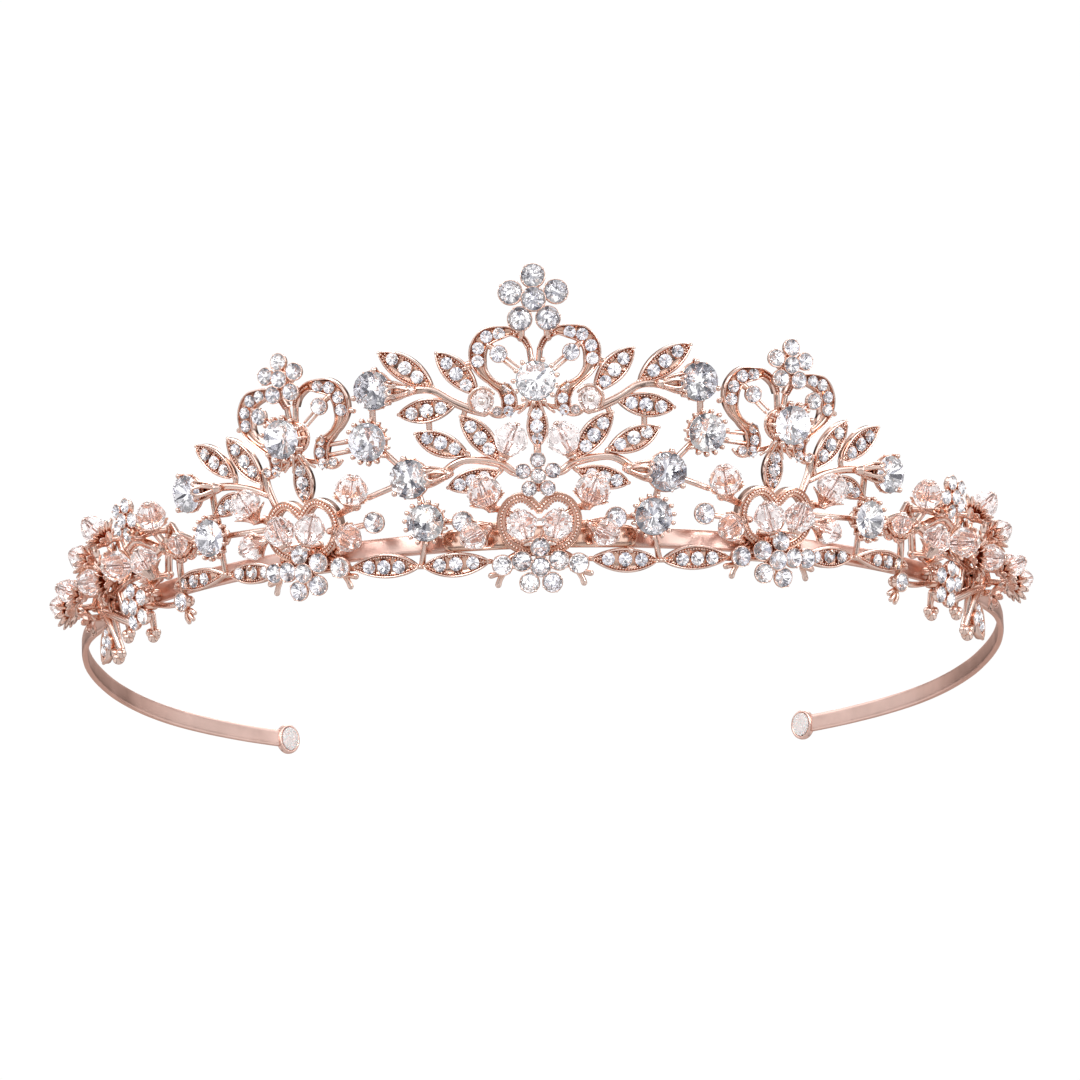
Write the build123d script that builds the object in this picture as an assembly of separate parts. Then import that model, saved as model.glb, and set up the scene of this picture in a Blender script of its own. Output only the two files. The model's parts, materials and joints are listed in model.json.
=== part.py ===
from build123d import *
import math
import os
from collections import defaultdict
from functools import cache

# Bridal tiara: a springy headband strip with an openwork of castings, set stones and crystal beads.
#
# Frame: +Z up along the openwork, the front faces -Y. "Right" is +X, the right in a front view.
# Origin: centre of the circle that the openwork follows, at the middle line of the bottom leaf row.
# Lattice coordinates: around (along the circle, right positive), up (up the leaning surface),
# out (away from the head, square to the surface). All dimensions in millimetres.

# ---------------------------------------------------------------- driving dimensions
LATTICE_R = 74.4      # radius of the circle the openwork follows
LEAN = math.radians(6.0)        # the openwork leans outward towards its top
CAST_T = 1.2          # thickness of the castings
BAND_H = 3.0          # height of the headband strip
BAND_T = 1.0          # thickness of the headband strip
BAND_R = 72.2         # radius of the strip's centre line at the front
BAND_Z0 = 3.8         # height of the strip's centre line at the front
BAND_SLOPE = math.radians(10.2)  # the strip's plane drops towards the back
BEAD_HOLE_R = 0.45    # hole through a crystal bead
BEAD_PIN_R = 0.40     # wire pin through a crystal bead
BELL_BORE_R = BEAD_PIN_R + 0.02
STONE_GAP = 0.03      # clearance round a stone in its seat
PAVE_OUT = CAST_T / 2 - 0.05    # girdle of the pave stones, just under the casting's face
POST_BACK = -0.3      # posts start inside the casting
LUG_R = 0.7
THIN_LUG_R = 0.6
LUG_TO_PLATE = -1.75  # how far back a lug reaches: to the backing plate
LUG_TO_STRIP = -2.0   # or to the strip itself
FOOT_PAD_R = 1.1      # pad of the casting under a bead's post


# ---------------------------------------------------------------- lattice
def lattice_point(around, up, out=0.0):
    angle = around / LATTICE_R
    radius = LATTICE_R + up * math.sin(LEAN) + out * math.cos(LEAN)
    height = up * math.cos(LEAN) - out * math.sin(LEAN)
    return (radius * math.sin(angle), -radius * math.cos(angle), height)


def lattice_axes(around):
    """Unit vectors along the circle, up the surface and outward."""
    sine, cosine = math.sin(around / LATTICE_R), math.cos(around / LATTICE_R)
    lean_cos, lean_sin = math.cos(LEAN), math.sin(LEAN)
    return ((cosine, sine, 0.0),
            (lean_sin * sine, -lean_sin * cosine, lean_cos),
            (lean_cos * sine, -lean_cos * cosine, -lean_sin))


def lattice_location(around, up, out=0.0, tilt_deg=0.0):
    """Location with x along the circle, y up, z outward; a positive tilt leans its top back."""
    tangent, _, normal = lattice_axes(around)
    plane = Plane(origin=lattice_point(around, up, out), x_dir=tangent, z_dir=normal)
    return plane.rotated((-tilt_deg, 0, 0)).location


def lattice_direction(around, parts):
    """World unit vector from its parts along the three lattice axes."""
    axes = lattice_axes(around)
    vector = [sum(parts[j] * axes[j][i] for j in range(3)) for i in range(3)]
    length = math.sqrt(sum(x * x for x in vector))
    return tuple(x / length for x in vector)


def motif_place(around, up, turn_deg):
    """Function that takes a motif's own (x, y) to (around, up)."""
    cosine, sine = math.cos(math.radians(turn_deg)), math.sin(math.radians(turn_deg))

    def place(x, y):
        return (around + x * cosine - y * sine, up + x * sine + y * cosine)
    return place


# ---------------------------------------------------------------- flat outlines
def smooth(points, steps=4):
    """Catmull-Rom points through the given points."""
    if len(points) < 3:
        return list(points)
    result = []
    for i in range(len(points) - 1):
        corners = (points[max(i - 1, 0)], points[i], points[i + 1],
                   points[min(i + 2, len(points) - 1)])
        for k in range(steps):
            t = k / steps
            result.append(tuple(
                0.5 * (2 * b + (c - a) * t + (2 * a - 5 * b + 4 * c - d) * t * t
                       + (3 * b - a - 3 * c + d) * t ** 3)
                for a, b, c, d in zip(*corners)))
    result.append(tuple(points[-1]))
    return result


def offset_sides(points, half_widths):
    """Left and right edges of a strip along the points."""
    left, right = [], []
    for i, ((x, y), half) in enumerate(zip(points, half_widths)):
        before, after = points[max(i - 1, 0)], points[min(i + 1, len(points) - 1)]
        dx, dy = after[0] - before[0], after[1] - before[1]
        length = math.hypot(dx, dy) or 1.0
        left.append((x - dy / length * half, y + dx / length * half))
        right.append((x + dy / length * half, y - dx / length * half))
    return left, right


def poly(points):
    return make_face(Polyline(*points, close=True))


def stroke(points, start_width, end_width=None, steps=4):
    """Face of a strip of changing width along a smoothed course."""
    end_width = start_width if end_width is None else end_width
    course = smooth(points, steps)
    last = len(course) - 1
    halves = [(start_width + (end_width - start_width) * i / last) / 2 for i in range(last + 1)]
    left, right = offset_sides(course, halves)
    return poly(left + right[::-1])


def leaf(tip, foot, width, count=9):
    """Face of a pointed leaf."""
    dx, dy = tip[0] - foot[0], tip[1] - foot[1]
    length = math.hypot(dx, dy)
    side_x, side_y = -dy / length, dx / length
    left, right = [], []
    for i in range(count + 1):
        t = i / count
        inside = 0 < i < count
        half = width / 2 * math.sin(math.pi * t) ** 0.8 if inside else 0.0
        x, y = foot[0] + dx * t, foot[1] + dy * t
        left.append((x + side_x * half, y + side_y * half))
        if inside:
            right.append((x - side_x * half, y - side_y * half))
    return poly(left + right[::-1])


def disc(x, y, radius):
    return Pos(x, y) * Circle(radius)


# ---------------------------------------------------------------- solids
def panel(around_mid, faces, holes=(), thickness=CAST_T, out=0.0):
    """Flat panel in the plane that touches the lattice at around_mid, drawn in (around, up)."""
    outline = faces[0] + faces[1:]
    if holes:
        outline = outline - list(holes)
    body = extrude(Pos(-around_mid, 0, -thickness / 2) * outline, amount=thickness)
    return lattice_location(around_mid, 0.0, out) * body


def turned(profile):
    """Solid of revolution about Z from an (r, z) outline."""
    face = make_face(Polyline(*[(x, 0, z) for x, z in profile], close=True))
    return revolve(face, axis=Axis.Z)


@cache
def stone(radius):
    """Round brilliant with a flat table, its girdle at z = 0."""
    profile = [(0, -0.55), (0.25, -0.5), (1, -0.06), (1, 0.05), (0.58, 0.36), (0, 0.36)]
    return turned([(x * radius, z * radius) for x, z in profile])


@cache
def cup(radius, depth, wall):
    """Round setting open to the front; its rim is near z = 0 and its floor under the stone."""
    bore = radius + STONE_GAP
    return turned([(0, -depth), (radius * 0.55 + wall, -depth), (radius + wall, -depth * 0.45),
                   (radius + wall, 0.08), (bore, 0.08), (bore, -0.10 * radius),
                   (0.30 * radius + STONE_GAP, -0.60 * radius), (0, -0.60 * radius)])


def bead_half_length(radius):
    return 0.88 * radius


@cache
def bead(radius):
    """Bicone crystal bead with its hole along Z."""
    half = bead_half_length(radius)
    return turned([(BEAD_HOLE_R, -half), (0.42 * radius, -half), (radius, -0.08 * radius),
                   (radius, 0.08 * radius), (0.42 * radius, half), (BEAD_HOLE_R, half)])


def facing(origin, aim):
    """Location whose Z is the direction aim."""
    helper = (1, 0, 0) if abs(aim[0]) < 0.8 else (0, 1, 0)
    x_dir = tuple(Vector(*helper).cross(Vector(*aim)).normalized())
    return Plane(origin=origin, x_dir=x_dir, z_dir=aim).location


def rod(start, end, radius):
    span = Vector(*end) - Vector(*start)
    return facing(start, tuple(span.normalized())) * extrude(Circle(radius), amount=span.length)


def post(around, up, out_from, out_to, radius):
    """Rod square to the lattice."""
    return rod(lattice_point(around, up, out_from), lattice_point(around, up, out_to), radius)


def lug(around, up, radius, out_to):
    """Solder lug from a casting back to the strip or the backing plate."""
    return post(around, up, 0.0, out_to, radius)


def mirrored(shape):
    return mirror(shape, about=Plane.YZ)


def flat_list(shapes):
    if hasattr(shapes, "solids"):
        return list(shapes.solids())
    return [solid for shape in shapes for solid in flat_list(shape)]


def joined(first, more):
    return first + flat_list(more)


# ---------------------------------------------------------------- collected pieces
nodes = defaultdict(list)
pave_stones = {"center": [], "right": []}
flower_stones = {"center": [], "right": []}
big_stones = []
crown_stones = []
bead_feet = defaultdict(list)     # by casting: (around, up, [bell, post])


def add(name, *shapes):
    nodes[name] += flat_list(shapes)


def add_pair(pattern, shape):
    """The right piece and its mirror image on the left."""
    for solid in flat_list(shape):
        add(pattern.format("right"), solid)
        add(pattern.format("left"), mirrored(solid))


def set_stones(region, stones):
    """Adds pave stones (around, up, radius) and returns the holes of their seats."""
    holes = []
    for around, up, radius in stones:
        pave_stones[region].append(lattice_location(around, up, PAVE_OUT) * stone(radius))
        holes.append(disc(around, up, radius + STONE_GAP))
    return holes


# ---------------------------------------------------------------- headband strip
BAND_PLANE = Plane(origin=(0, -BAND_R, BAND_Z0), x_dir=(1, 0, 0),
                   z_dir=(0, math.sin(BAND_SLOPE), math.cos(BAND_SLOPE)))
FLARE_FROM_DEG = 45
FLARE_PER_DEG = 0.022     # growth of the radius past FLARE_FROM_DEG
# plan (x, y) of the right side behind the round front
BAND_BACK = [(71.2, -18.0), (73.2, -8.5), (74.0, 1.0), (74.0, 10.0), (73.2, 20.0), (71.6, 30.5),
             (68.6, 42.0), (64.6, 52.0), (59.4, 60.8), (53.6, 68.2), (48.9, 73.0), (46.9, 74.8)]
BAND_STEP = 1.2           # spacing of the points along the strip
JOINT_Y = -4.0            # where the arms meet the front part
JOINT_GAP = 0.30
TIP_W, TIP_H, TIP_T = 4.9, 5.3, 1.3      # oval end of an arm
TIP_REACH = 1.6           # its centre past the end of the strip
PAD_W, PAD_H, PAD_T = 3.5, 4.1, 0.95     # oval pad in the end's seat
PAD_GAP = 0.04
SEAT_DEPTH = 0.5
PAD_DEPTH = 0.48
SEAT_CUT = 2.0            # height of the cutter, well clear of the face


def in_band_plane(x, y):
    """Plan point to the strip's own plane."""
    return (x, (y + BAND_R) / math.cos(BAND_SLOPE))


def band_height(around):
    """Height of the strip's centre line behind a lattice position."""
    y = -BAND_R * math.cos(around / LATTICE_R)
    return BAND_Z0 - (y + BAND_R) * math.tan(BAND_SLOPE)


def band_curve():
    """Evenly spaced centre line of the right half, from the front to the back end."""
    plan = []
    for degrees in range(0, 68, 3):
        angle = math.radians(degrees)
        radius = BAND_R + max(0.0, degrees - FLARE_FROM_DEG) * FLARE_PER_DEG
        plan.append((radius * math.sin(angle), -radius * math.cos(angle)))
    course = smooth([in_band_plane(*point) for point in plan + BAND_BACK], 3)
    result, remaining = [course[0]], BAND_STEP
    for start, end in zip(course, course[1:]):
        length = math.hypot(end[0] - start[0], end[1] - start[1])
        while length > remaining and length > 1e-9:
            t = remaining / length
            start = (start[0] + (end[0] - start[0]) * t, start[1] + (end[1] - start[1]) * t)
            result.append(start)
            length = math.hypot(end[0] - start[0], end[1] - start[1])
            remaining = BAND_STEP
        remaining -= length
    result.append(course[-1])
    return result


def spline_face(first, second):
    """Face between two splines that run the same way."""
    return make_face([Spline(*first), Line(first[-1], second[-1]),
                      Spline(*second[::-1]), Line(second[0], first[0])])


def band_extrusion(face, height):
    """Face in the strip's plane, extruded evenly to both sides of it."""
    return BAND_PLANE.location * extrude(Pos(0, 0, -height / 2) * face, amount=height)


def strip(points):
    left, right = offset_sides(points, [BAND_T / 2] * len(points))
    return band_extrusion(spline_face(left, right), BAND_H)


def unit(start, end):
    dx, dy = end[0] - start[0], end[1] - start[1]
    length = math.hypot(dx, dy)
    return dx / length, dy / length


def split_band(curve):
    """Right half of the front part, and the arm, with the joint's gap between them."""
    joint_y = in_band_plane(0, JOINT_Y)[1]
    cut = min(range(len(curve)), key=lambda i: abs(curve[i][1] - joint_y))
    dir_x, dir_y = unit(curve[cut - 1], curve[cut + 1])
    x, y = curve[cut]
    half = JOINT_GAP / 2
    front_end = (x - dir_x * half, y - dir_y * half)
    arm_start = (x + dir_x * half, y + dir_y * half)
    return curve[:cut] + [front_end], [arm_start] + curve[cut + 1:]


def band_front(half):
    whole = [(-x, y) for x, y in half[:0:-1]] + half
    return strip(whole[::2])


def band_point(x, y):
    return BAND_PLANE.from_local_coords(Vector(x, y, 0))


def band_direction(x, y):
    return (band_point(x, y) - band_point(0, 0)).normalized()


def arm_and_pad(points):
    """Right arm with a shallow oval seat in the inner face of its wide end, and the seat's pad."""
    dir_x, dir_y = unit(points[-4], points[-1])
    x, y = points[-1]
    tip = Plane(origin=band_point(x + dir_x * TIP_REACH, y + dir_y * TIP_REACH),
                x_dir=band_direction(dir_x, dir_y),
                z_dir=band_direction(-dir_y, dir_x)).location

    def oval(z, width, height, amount):
        return tip * extrude(Pos(0, 0, z) * Ellipse(width / 2, height / 2), amount=amount)

    end = oval(-TIP_T / 2, TIP_W, TIP_H, TIP_T)
    pocket = oval(TIP_T / 2 - SEAT_DEPTH, PAD_W + 2 * PAD_GAP, PAD_H + 2 * PAD_GAP, SEAT_CUT)
    arm = strip(points) + end - pocket
    return arm, oval(TIP_T / 2 - PAD_DEPTH, PAD_W, PAD_H, PAD_T)


# curved plate between the strip and the centre motif
BACK_LEN, BACK_H, BACK_T = 28.5, 3.4, 0.7
BACK_GAP = 0.02


def backing_plate():
    count = 24
    half_angle = BACK_LEN / 2 / BAND_R
    inner_r = BAND_R + BAND_T / 2 + BACK_GAP

    def arc(radius):
        angles = [half_angle * i / count for i in range(-count, count + 1)]
        return [(radius * math.sin(a), BAND_R - radius * math.cos(a)) for a in angles]

    return band_extrusion(spline_face(arc(inner_r + BACK_T), arc(inner_r)), BACK_H)


# ---------------------------------------------------------------- crystal beads on pins
# right side: name, casting, around, up, out, radius, axis as (around, up, out) parts
BEADS = [
    ("center_leaf_bead", "inner_spray", 3.55, 18.4, 3.3, 2.5, (-0.42, 0.90, 0.10)),
    ("center_heart_bead", "center_heart", 2.40, 5.9, 4.15, 2.3, (0.30, 0.95, 0.0)),
    ("center_upper_bead", "center_heart", 7.5, 10.9, 3.6, 2.5, (0.28, 0.90, 0.34)),
    ("center_lower_bead", "center_heart", 9.2, 4.5, 3.3, 2.1, (0.84, -0.44, 0.32)),
    ("heart_inner_bead", "side_heart", 32.80, 6.5, 4.15, 2.3, (-0.30, 0.95, 0.0)),
    ("heart_outer_bead", "side_heart", 37.60, 6.4, 4.15, 2.3, (0.34, 0.94, 0.0)),
    ("upper_inner_bead", "side_heart", 26.3, 11.9, 3.6, 2.4, (-0.30, 0.90, 0.32)),
    ("upper_outer_bead", "side_heart", 43.3, 10.6, 3.6, 2.4, (0.34, 0.88, 0.34)),
    ("lower_inner_bead", "side_heart", 27.3, 4.9, 3.3, 2.05, (-0.86, -0.40, 0.32)),
    ("lower_outer_bead", "side_heart", 43.1, 4.4, 3.3, 2.0, (0.88, -0.36, 0.32)),
    ("end_upper_bead", "end_cluster", 61.8, 10.2, 3.9, 2.3, (-0.30, 0.88, 0.36)),
    ("end_middle_bead", "end_cluster", 64.6, 3.4, 3.9, 2.2, (0.28, 0.90, 0.34)),
]
PIN_ABOVE = 0.40      # pin past the bead's front end
HEAD_LIFT = 0.12      # pin head above the bead's front end
# mounts: pin past the bead's rear end, head radius and thickness, gap from bead to bell,
# bell outline (r, z), bead end to post, post radius
LOOSE_MOUNT = dict(pin_below=0.75, head_r=0.72, head_t=0.3, bell_gap=0.15,
                   bell=[(1.25, 0.0), (1.05, 0.45), (0.75, 0.8)], post_gap=0.64, post_r=0.62)
CUP_MOUNT = dict(pin_below=0.6, head_r=0.62, head_t=0.28, bell_gap=0.12,
                 bell=[(1.2, 0.0), (0.95, 0.5), (0.7, 0.9)], post_gap=0.6, post_r=0.6)


def mounted_bead(pattern, around, up, out, radius, parts, mount):
    """Adds a bead and its pin on both sides; returns its foot (around, up, [bell, post])."""
    aim = lattice_direction(around, parts)
    center = lattice_point(around, up, out)
    location = facing(center, aim)
    half = bead_half_length(radius)
    add_pair(pattern, location * bead(radius))

    below = mount["pin_below"]
    pin = location * extrude(Pos(0, 0, -half - below) * Circle(BEAD_PIN_R),
                             amount=2 * half + below + PIN_ABOVE)
    head = location * extrude(Pos(0, 0, half + HEAD_LIFT) * Circle(mount["head_r"]),
                              amount=mount["head_t"])
    pin = pin + head
    add("bead_pins", pin, mirrored(pin))

    bell_center = tuple(center[i] - aim[i] * (half + mount["bell_gap"]) for i in range(3))
    outline = mount["bell"]
    bell = facing(bell_center, tuple(-x for x in aim)) * turned(
        [(BELL_BORE_R, 0.0), *outline, (BELL_BORE_R, outline[-1][1])])

    reach = (half + mount["post_gap"]) / math.sqrt(sum(x * x for x in parts))
    foot_around, foot_up, foot_out = (
        value - part * reach for value, part in zip((around, up, out), parts))
    foot_post = post(foot_around, foot_up, POST_BACK, foot_out, mount["post_r"])
    return foot_around, foot_up, [bell, foot_post]


def feet_of(casting):
    """Pads in the casting and the solids that stand on them."""
    feet = bead_feet[casting]
    return ([disc(around, up, FOOT_PAD_R) for around, up, _ in feet],
            [solid for _, _, solids in feet for solid in solids])


# ---------------------------------------------------------------- flowers
# around, up, out, radius to a petal's middle, stone radius, turn and backward tilt in degrees
FLOWERS = {
    "center_top": (0.0, 38.6, 3.0, 3.5, 1.6, 0.0, 10.0),
    "center_mid": (0.0, 12.9, 2.2, 2.3, 1.0, 0.0, 0.0),
    "center_bottom": (0.0, -0.4, 2.2, 2.85, 1.3, 0.0, 0.0),
    "side_top": (36.6, 28.8, 2.4, 2.6, 1.15, -5.0, 5.0),
    "side_bottom": (35.2, 0.0, 2.2, 2.85, 1.3, -12.0, 0.0),
    "end_top": (69.8, 10.0, 3.0, 2.3, 1.0, 20.0, 0.0),
    "end_bottom": (69.5, -3.3, 3.0, 2.5, 1.1, -15.0, 0.0),
}
FLOWER_WALL = 0.26
FLOWER_MIDDLE_LIFT = 0.35     # the middle stone stands in front of the petals
FLOWER_BACK_T = 0.45
FLOWER_STEM_R = 0.9


def flower_solids(name):
    """Adds the flower's stones; returns its cups, round back and stem."""
    around, up, out, petal_at, stone_r, turn_deg, tilt_deg = FLOWERS[name]
    region = "center" if name.startswith("center") else "right"
    location = lattice_location(around, up, out, tilt_deg)
    depth = max(0.9, 0.75 * stone_r)
    spots = [(0.0, 0.0, FLOWER_MIDDLE_LIFT)]
    for i in range(5):
        angle = math.radians(90 + turn_deg + 72 * i)
        spots.append((petal_at * math.cos(angle), petal_at * math.sin(angle), 0.0))
    cups = []
    for spot in spots:
        cups.append(location * (Pos(*spot) * cup(stone_r, depth, FLOWER_WALL)))
        flower_stones[region].append(location * (Pos(*spot) * stone(stone_r)))
    disc_back = extrude(Circle(petal_at + stone_r * 0.25), amount=FLOWER_BACK_T)
    back = location * (Pos(0, 0, -depth - 0.15) * disc_back)
    stem = post(around, up, -0.4, out - 0.75 * stone_r, FLOWER_STEM_R)
    return cups + [back, stem]


# ---------------------------------------------------------------- heart castings
# motif coordinates: origin at the middle stone of the bottom flower; halves are mirrored
HEART_HALF = [(0.0, 8.1), (0.7, 9.1), (1.7, 10.0), (2.9, 10.25), (4.2, 9.7), (5.2, 8.5),
              (5.65, 6.9), (5.4, 5.2), (4.6, 3.7), (3.3, 2.7), (1.7, 2.2), (0.0, 2.6)]
HEART_W = 1.1
HEART_CAPS = [(0, 8.15), (0, 2.55)]     # discs that close the two halves' joints
HEART_CAP_R = HEART_W / 2
HEART_T = 2.3
HEART_OUT = 0.58
HEART_ARM = [(2.2, 2.4), (4.0, 1.4), (5.5, 0.4)]
HEART_SIDE_STONE = (5.45, 0.35)
HEART_SIDE_STONE_R = 1.35
BEZEL_RIM = 0.4                         # metal round the larger stones
TWIGS = [((5.9, -0.9), (7.3, -1.2)), ((5.6, -1.1), (6.3, -2.6))]
# place (around, up, turn); strut_low: height where struts near the middle line end; other
# struts shrink by strut_scale towards strut_aim, then drop; bezel stone and where its tie ends
HEARTS = {
    "center": dict(at=(0.0, -0.4, 0.0), strut_low=2.2, strut_aim=6.0, strut_scale=0.62,
                   strut_drop=0.2, bezel=(11.0, 6.5, 1.4), bezel_tie=(5.4, 5.6)),
    "side": dict(at=(35.2, 0.0, -2.0), strut_low=2.3, strut_aim=6.3, strut_scale=0.6,
                 strut_drop=0.0, bezel=(24.1, 6.9, 1.4), bezel_tie=(30.0, 5.9)),
}
STRUT_W = 1.2
# stem above the centre heart, behind the small flower: course, width
MID_STEMS = [([(0, 17.4), (0, 11.0)], 1.2), ([(0.3, 12.0), (2.0, 9.6)], 1.1),
             ([(-0.3, 12.0), (-2.0, 9.6)], 1.1)]
MID_DISC = (0, 12.9, 2.0)
CENTER_LUG = (4.95, 3.7)
SIDE_LUG_OFFSET = 4.6


def heart_struts(kind, signs):
    """Struts from the heart to the pads of the beads round it."""
    data = HEARTS[kind]
    middle, aim, scale = data["at"][0], data["strut_aim"], data["strut_scale"]
    faces = []
    for around, up, _ in bead_feet[kind + "_heart"]:
        if abs(around - middle) < 3:
            end = (around, data["strut_low"])
        else:
            end = (middle + (around - middle) * scale,
                   aim + (up - aim) * scale - data["strut_drop"])
        for sign in signs:
            faces.append(stroke([(sign * around, up), (sign * end[0], end[1])], STRUT_W))
        if kind == "center":
            faces.append(disc(-around, up, FOOT_PAD_R))
    return faces


def heart_casting(kind):
    """Heart with its bottom flower, arms, stone seats, twigs and bead feet."""
    data = HEARTS[kind]
    region, signs = ("center", (1, -1)) if kind == "center" else ("right", (1,))
    place = motif_place(*data["at"])
    middle = data["at"][0]
    faces, holes = [], []
    ring = [stroke([place(sign * x, y) for x, y in HEART_HALF], HEART_W, steps=2)
            for sign in (1, -1)]
    ring += [disc(*place(x, y), HEART_CAP_R) for x, y in HEART_CAPS]
    side_stones = []
    for sign in (1, -1):
        faces.append(stroke([place(sign * x, y) for x, y in HEART_ARM], 1.3))
        x, y = place(sign * HEART_SIDE_STONE[0], HEART_SIDE_STONE[1])
        side_stones.append((x, y, HEART_SIDE_STONE_R))
        faces.append(disc(x, y, HEART_SIDE_STONE_R + BEZEL_RIM))
        for twig in TWIGS:
            faces.append(stroke([place(sign * x, y) for x, y in twig], 0.9, 0.8))
    faces.append(stroke([place(0, 2.9), place(0, 0)], 1.6))
    faces.append(disc(*place(0, 0), 2.6))
    faces.append(stroke([place(-5.5, 0.3), place(5.5, 0.3)], 1.3))

    pads, solids = feet_of(kind + "_heart")
    faces += heart_struts(kind, signs)
    if kind == "center":
        solids += [mirrored(solid) for solid in solids]
    faces += pads
    around, up, radius = data["bezel"]
    tie_x, tie_y = data["bezel_tie"]
    for sign in signs:
        faces.append(disc(sign * around, up, radius + BEZEL_RIM))
        faces.append(stroke([(sign * around, up), (sign * tie_x, tie_y)], 1.0))
        holes += set_stones(region, [(sign * around, up, radius)])
    holes += set_stones(region, side_stones)

    body = panel(middle, faces, holes)
    more = [panel(middle, ring, thickness=HEART_T, out=HEART_OUT)] + solids
    more += flower_solids(kind + "_bottom")
    if kind == "center":
        more += flower_solids("center_mid")
        more.append(panel(0.0, [stroke(*entry) for entry in MID_STEMS] + [disc(*MID_DISC)]))
        lugs = [(sign * CENTER_LUG[0], CENTER_LUG[1], LUG_R, LUG_TO_PLATE) for sign in signs]
    else:
        lugs = [(x, band_height(x), LUG_R, LUG_TO_STRIP)
                for x in (middle - SIDE_LUG_OFFSET, middle + SIDE_LUG_OFFSET)]
    return joined(body, more + [lug(*entry) for entry in lugs])


# ---------------------------------------------------------------- scroll castings
# place: around, up, turn; motif coordinates have their origin at the large round stone
SCROLL_AT = {"center": (0.0, 26.8, 0.0), "side": (36.0, 20.0, -5.0)}
SCROLL_PATH = [(0.75, 4.6), (1.7, 6.2), (3.6, 7.5), (6.1, 7.6), (7.9, 6.0),
               (8.4, 3.4), (7.5, 1.0), (5.9, -1.2), (4.7, -3.0), (4.4, -4.9)]
# one half, mirrored: course, start width, end width
SCROLL_STROKES = [
    (SCROLL_PATH[:5], 0.9, 1.9),
    (SCROLL_PATH[4:7], 1.9, 1.0),
    (SCROLL_PATH[6:], 1.0, 1.9),
    ([(4.2, 3.2), (2.7, 1.8)], 0.9, 0.9),       # stem of the inner stone
    ([(4.2, -4.6), (6.7, -4.6)], 1.9, 1.9),     # foot
]
SCROLL_LINKS = [
    ([(4.3, -4.2), (0, -3.2)], 0.9, 0.9),       # brace from the foot to the upright leaf
    ([(0.75, 4.6), (0.5, 2.5)], 1.0, 1.0),      # from the scroll's top to the large stone
    ([(8.3, 3.2), (9.6, 2.6)], 0.9, 0.9),       # stub on the outer side
]
SCROLL_STONES = [(4.9, 6.9), (6.65, 6.55), (7.85, 4.9), (8.0, 3.0),
                 (4.05, -1.0), (3.75, -2.7), (3.9, -4.4)]
SCROLL_STONE_R = 0.62
SCROLL_SEAT_R = 0.98
SCROLL_INNER = (5.0, 4.0, 1.15)                 # small stone inside the scroll: x, y, radius
SCROLL_INNER_SEAT_R = 1.5
SCROLL_FOOT_STONE = (5.5, -4.5, 0.6)
MID_LEAF = ((0.0, -3.5), (0.0, -9.9), 3.0)      # upright leaf under the stone: ends, width
MID_LEAF_STONES = [(0.0, -4.95, 0.8), (0.0, -6.75, 0.9), (0.0, -8.5, 0.75)]
MOTIF_STONE_R = 2.8
MOTIF_STONE_OUT = 4.6


def scroll_casting(kind):
    region = "center" if kind == "center" else "right"
    place = motif_place(*SCROLL_AT[kind])
    faces, holes = [], []

    def strokes(table, sign):
        return [stroke([place(sign * x, y) for x, y in points], start, end)
                for points, start, end in table]

    for sign in (1, -1):
        faces += strokes(SCROLL_STROKES, sign)
        faces.append(disc(*place(sign * SCROLL_INNER[0], SCROLL_INNER[1]), SCROLL_INNER_SEAT_R))
        faces += [disc(*place(sign * x, y), SCROLL_SEAT_R) for x, y in SCROLL_STONES]
        stones = [(x, y, SCROLL_STONE_R) for x, y in SCROLL_STONES]
        stones += [SCROLL_INNER, SCROLL_FOOT_STONE]
        holes += set_stones(region, [(*place(sign * x, y), radius) for x, y, radius in stones])
        faces += strokes(SCROLL_LINKS, sign)
    tip, foot, width = MID_LEAF
    faces.append(leaf(place(*tip), place(*foot), width))
    faces.append(stroke([place(0, 0), place(0, -5.0)], 1.4))
    faces.append(stroke([place(0, -9.0), place(0, -10.4)], 0.9))
    around, up = place(0, 0)
    faces.append(disc(around, up, 3.3))
    holes += set_stones(region, [(*place(x, y), radius) for x, y, radius in MID_LEAF_STONES])
    body = panel(SCROLL_AT[kind][0], faces, holes)

    location = lattice_location(around, up, MOTIF_STONE_OUT)
    big = location * stone(MOTIF_STONE_R)
    big_stones.append(big)
    if kind == "side":
        big_stones.append(mirrored(big))
    return joined(body, [location * cup(MOTIF_STONE_R, 2.3, 0.55),
                         post(around, up, POST_BACK, MOTIF_STONE_OUT - 2.0, 1.6)])


# ---------------------------------------------------------------- flowers above the scrolls
CENTER_NECK = [(1.9, 33.0), (1.3, 36.0), (0.2, 38.4)]
CENTER_NECK_DISC = (0, 38.4, 2.4)
SIDE_NECK_MID = 36.5
SIDE_NECK_END = (36.6, 28.6)
SIDE_NECK_DISC = (36.6, 28.8, 1.8)
NECK_W = 1.1


def center_top_flower():
    """Large flower on a forked neck between the tops of the centre scroll."""
    faces = [stroke([(sign * x, y) for x, y in CENTER_NECK], NECK_W) for sign in (1, -1)]
    neck = panel(0.0, faces + [disc(*CENTER_NECK_DISC)])
    return joined(neck, flower_solids("center_top"))


def side_top_flower():
    place = motif_place(*SCROLL_AT["side"])
    x, y = SCROLL_PATH[1]
    faces = [stroke([place(sign * x, y), SIDE_NECK_END], NECK_W) for sign in (1, -1)]
    neck = panel(SIDE_NECK_MID, faces + [disc(*SIDE_NECK_DISC)])
    return joined(neck, flower_solids("side_top"))


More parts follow.
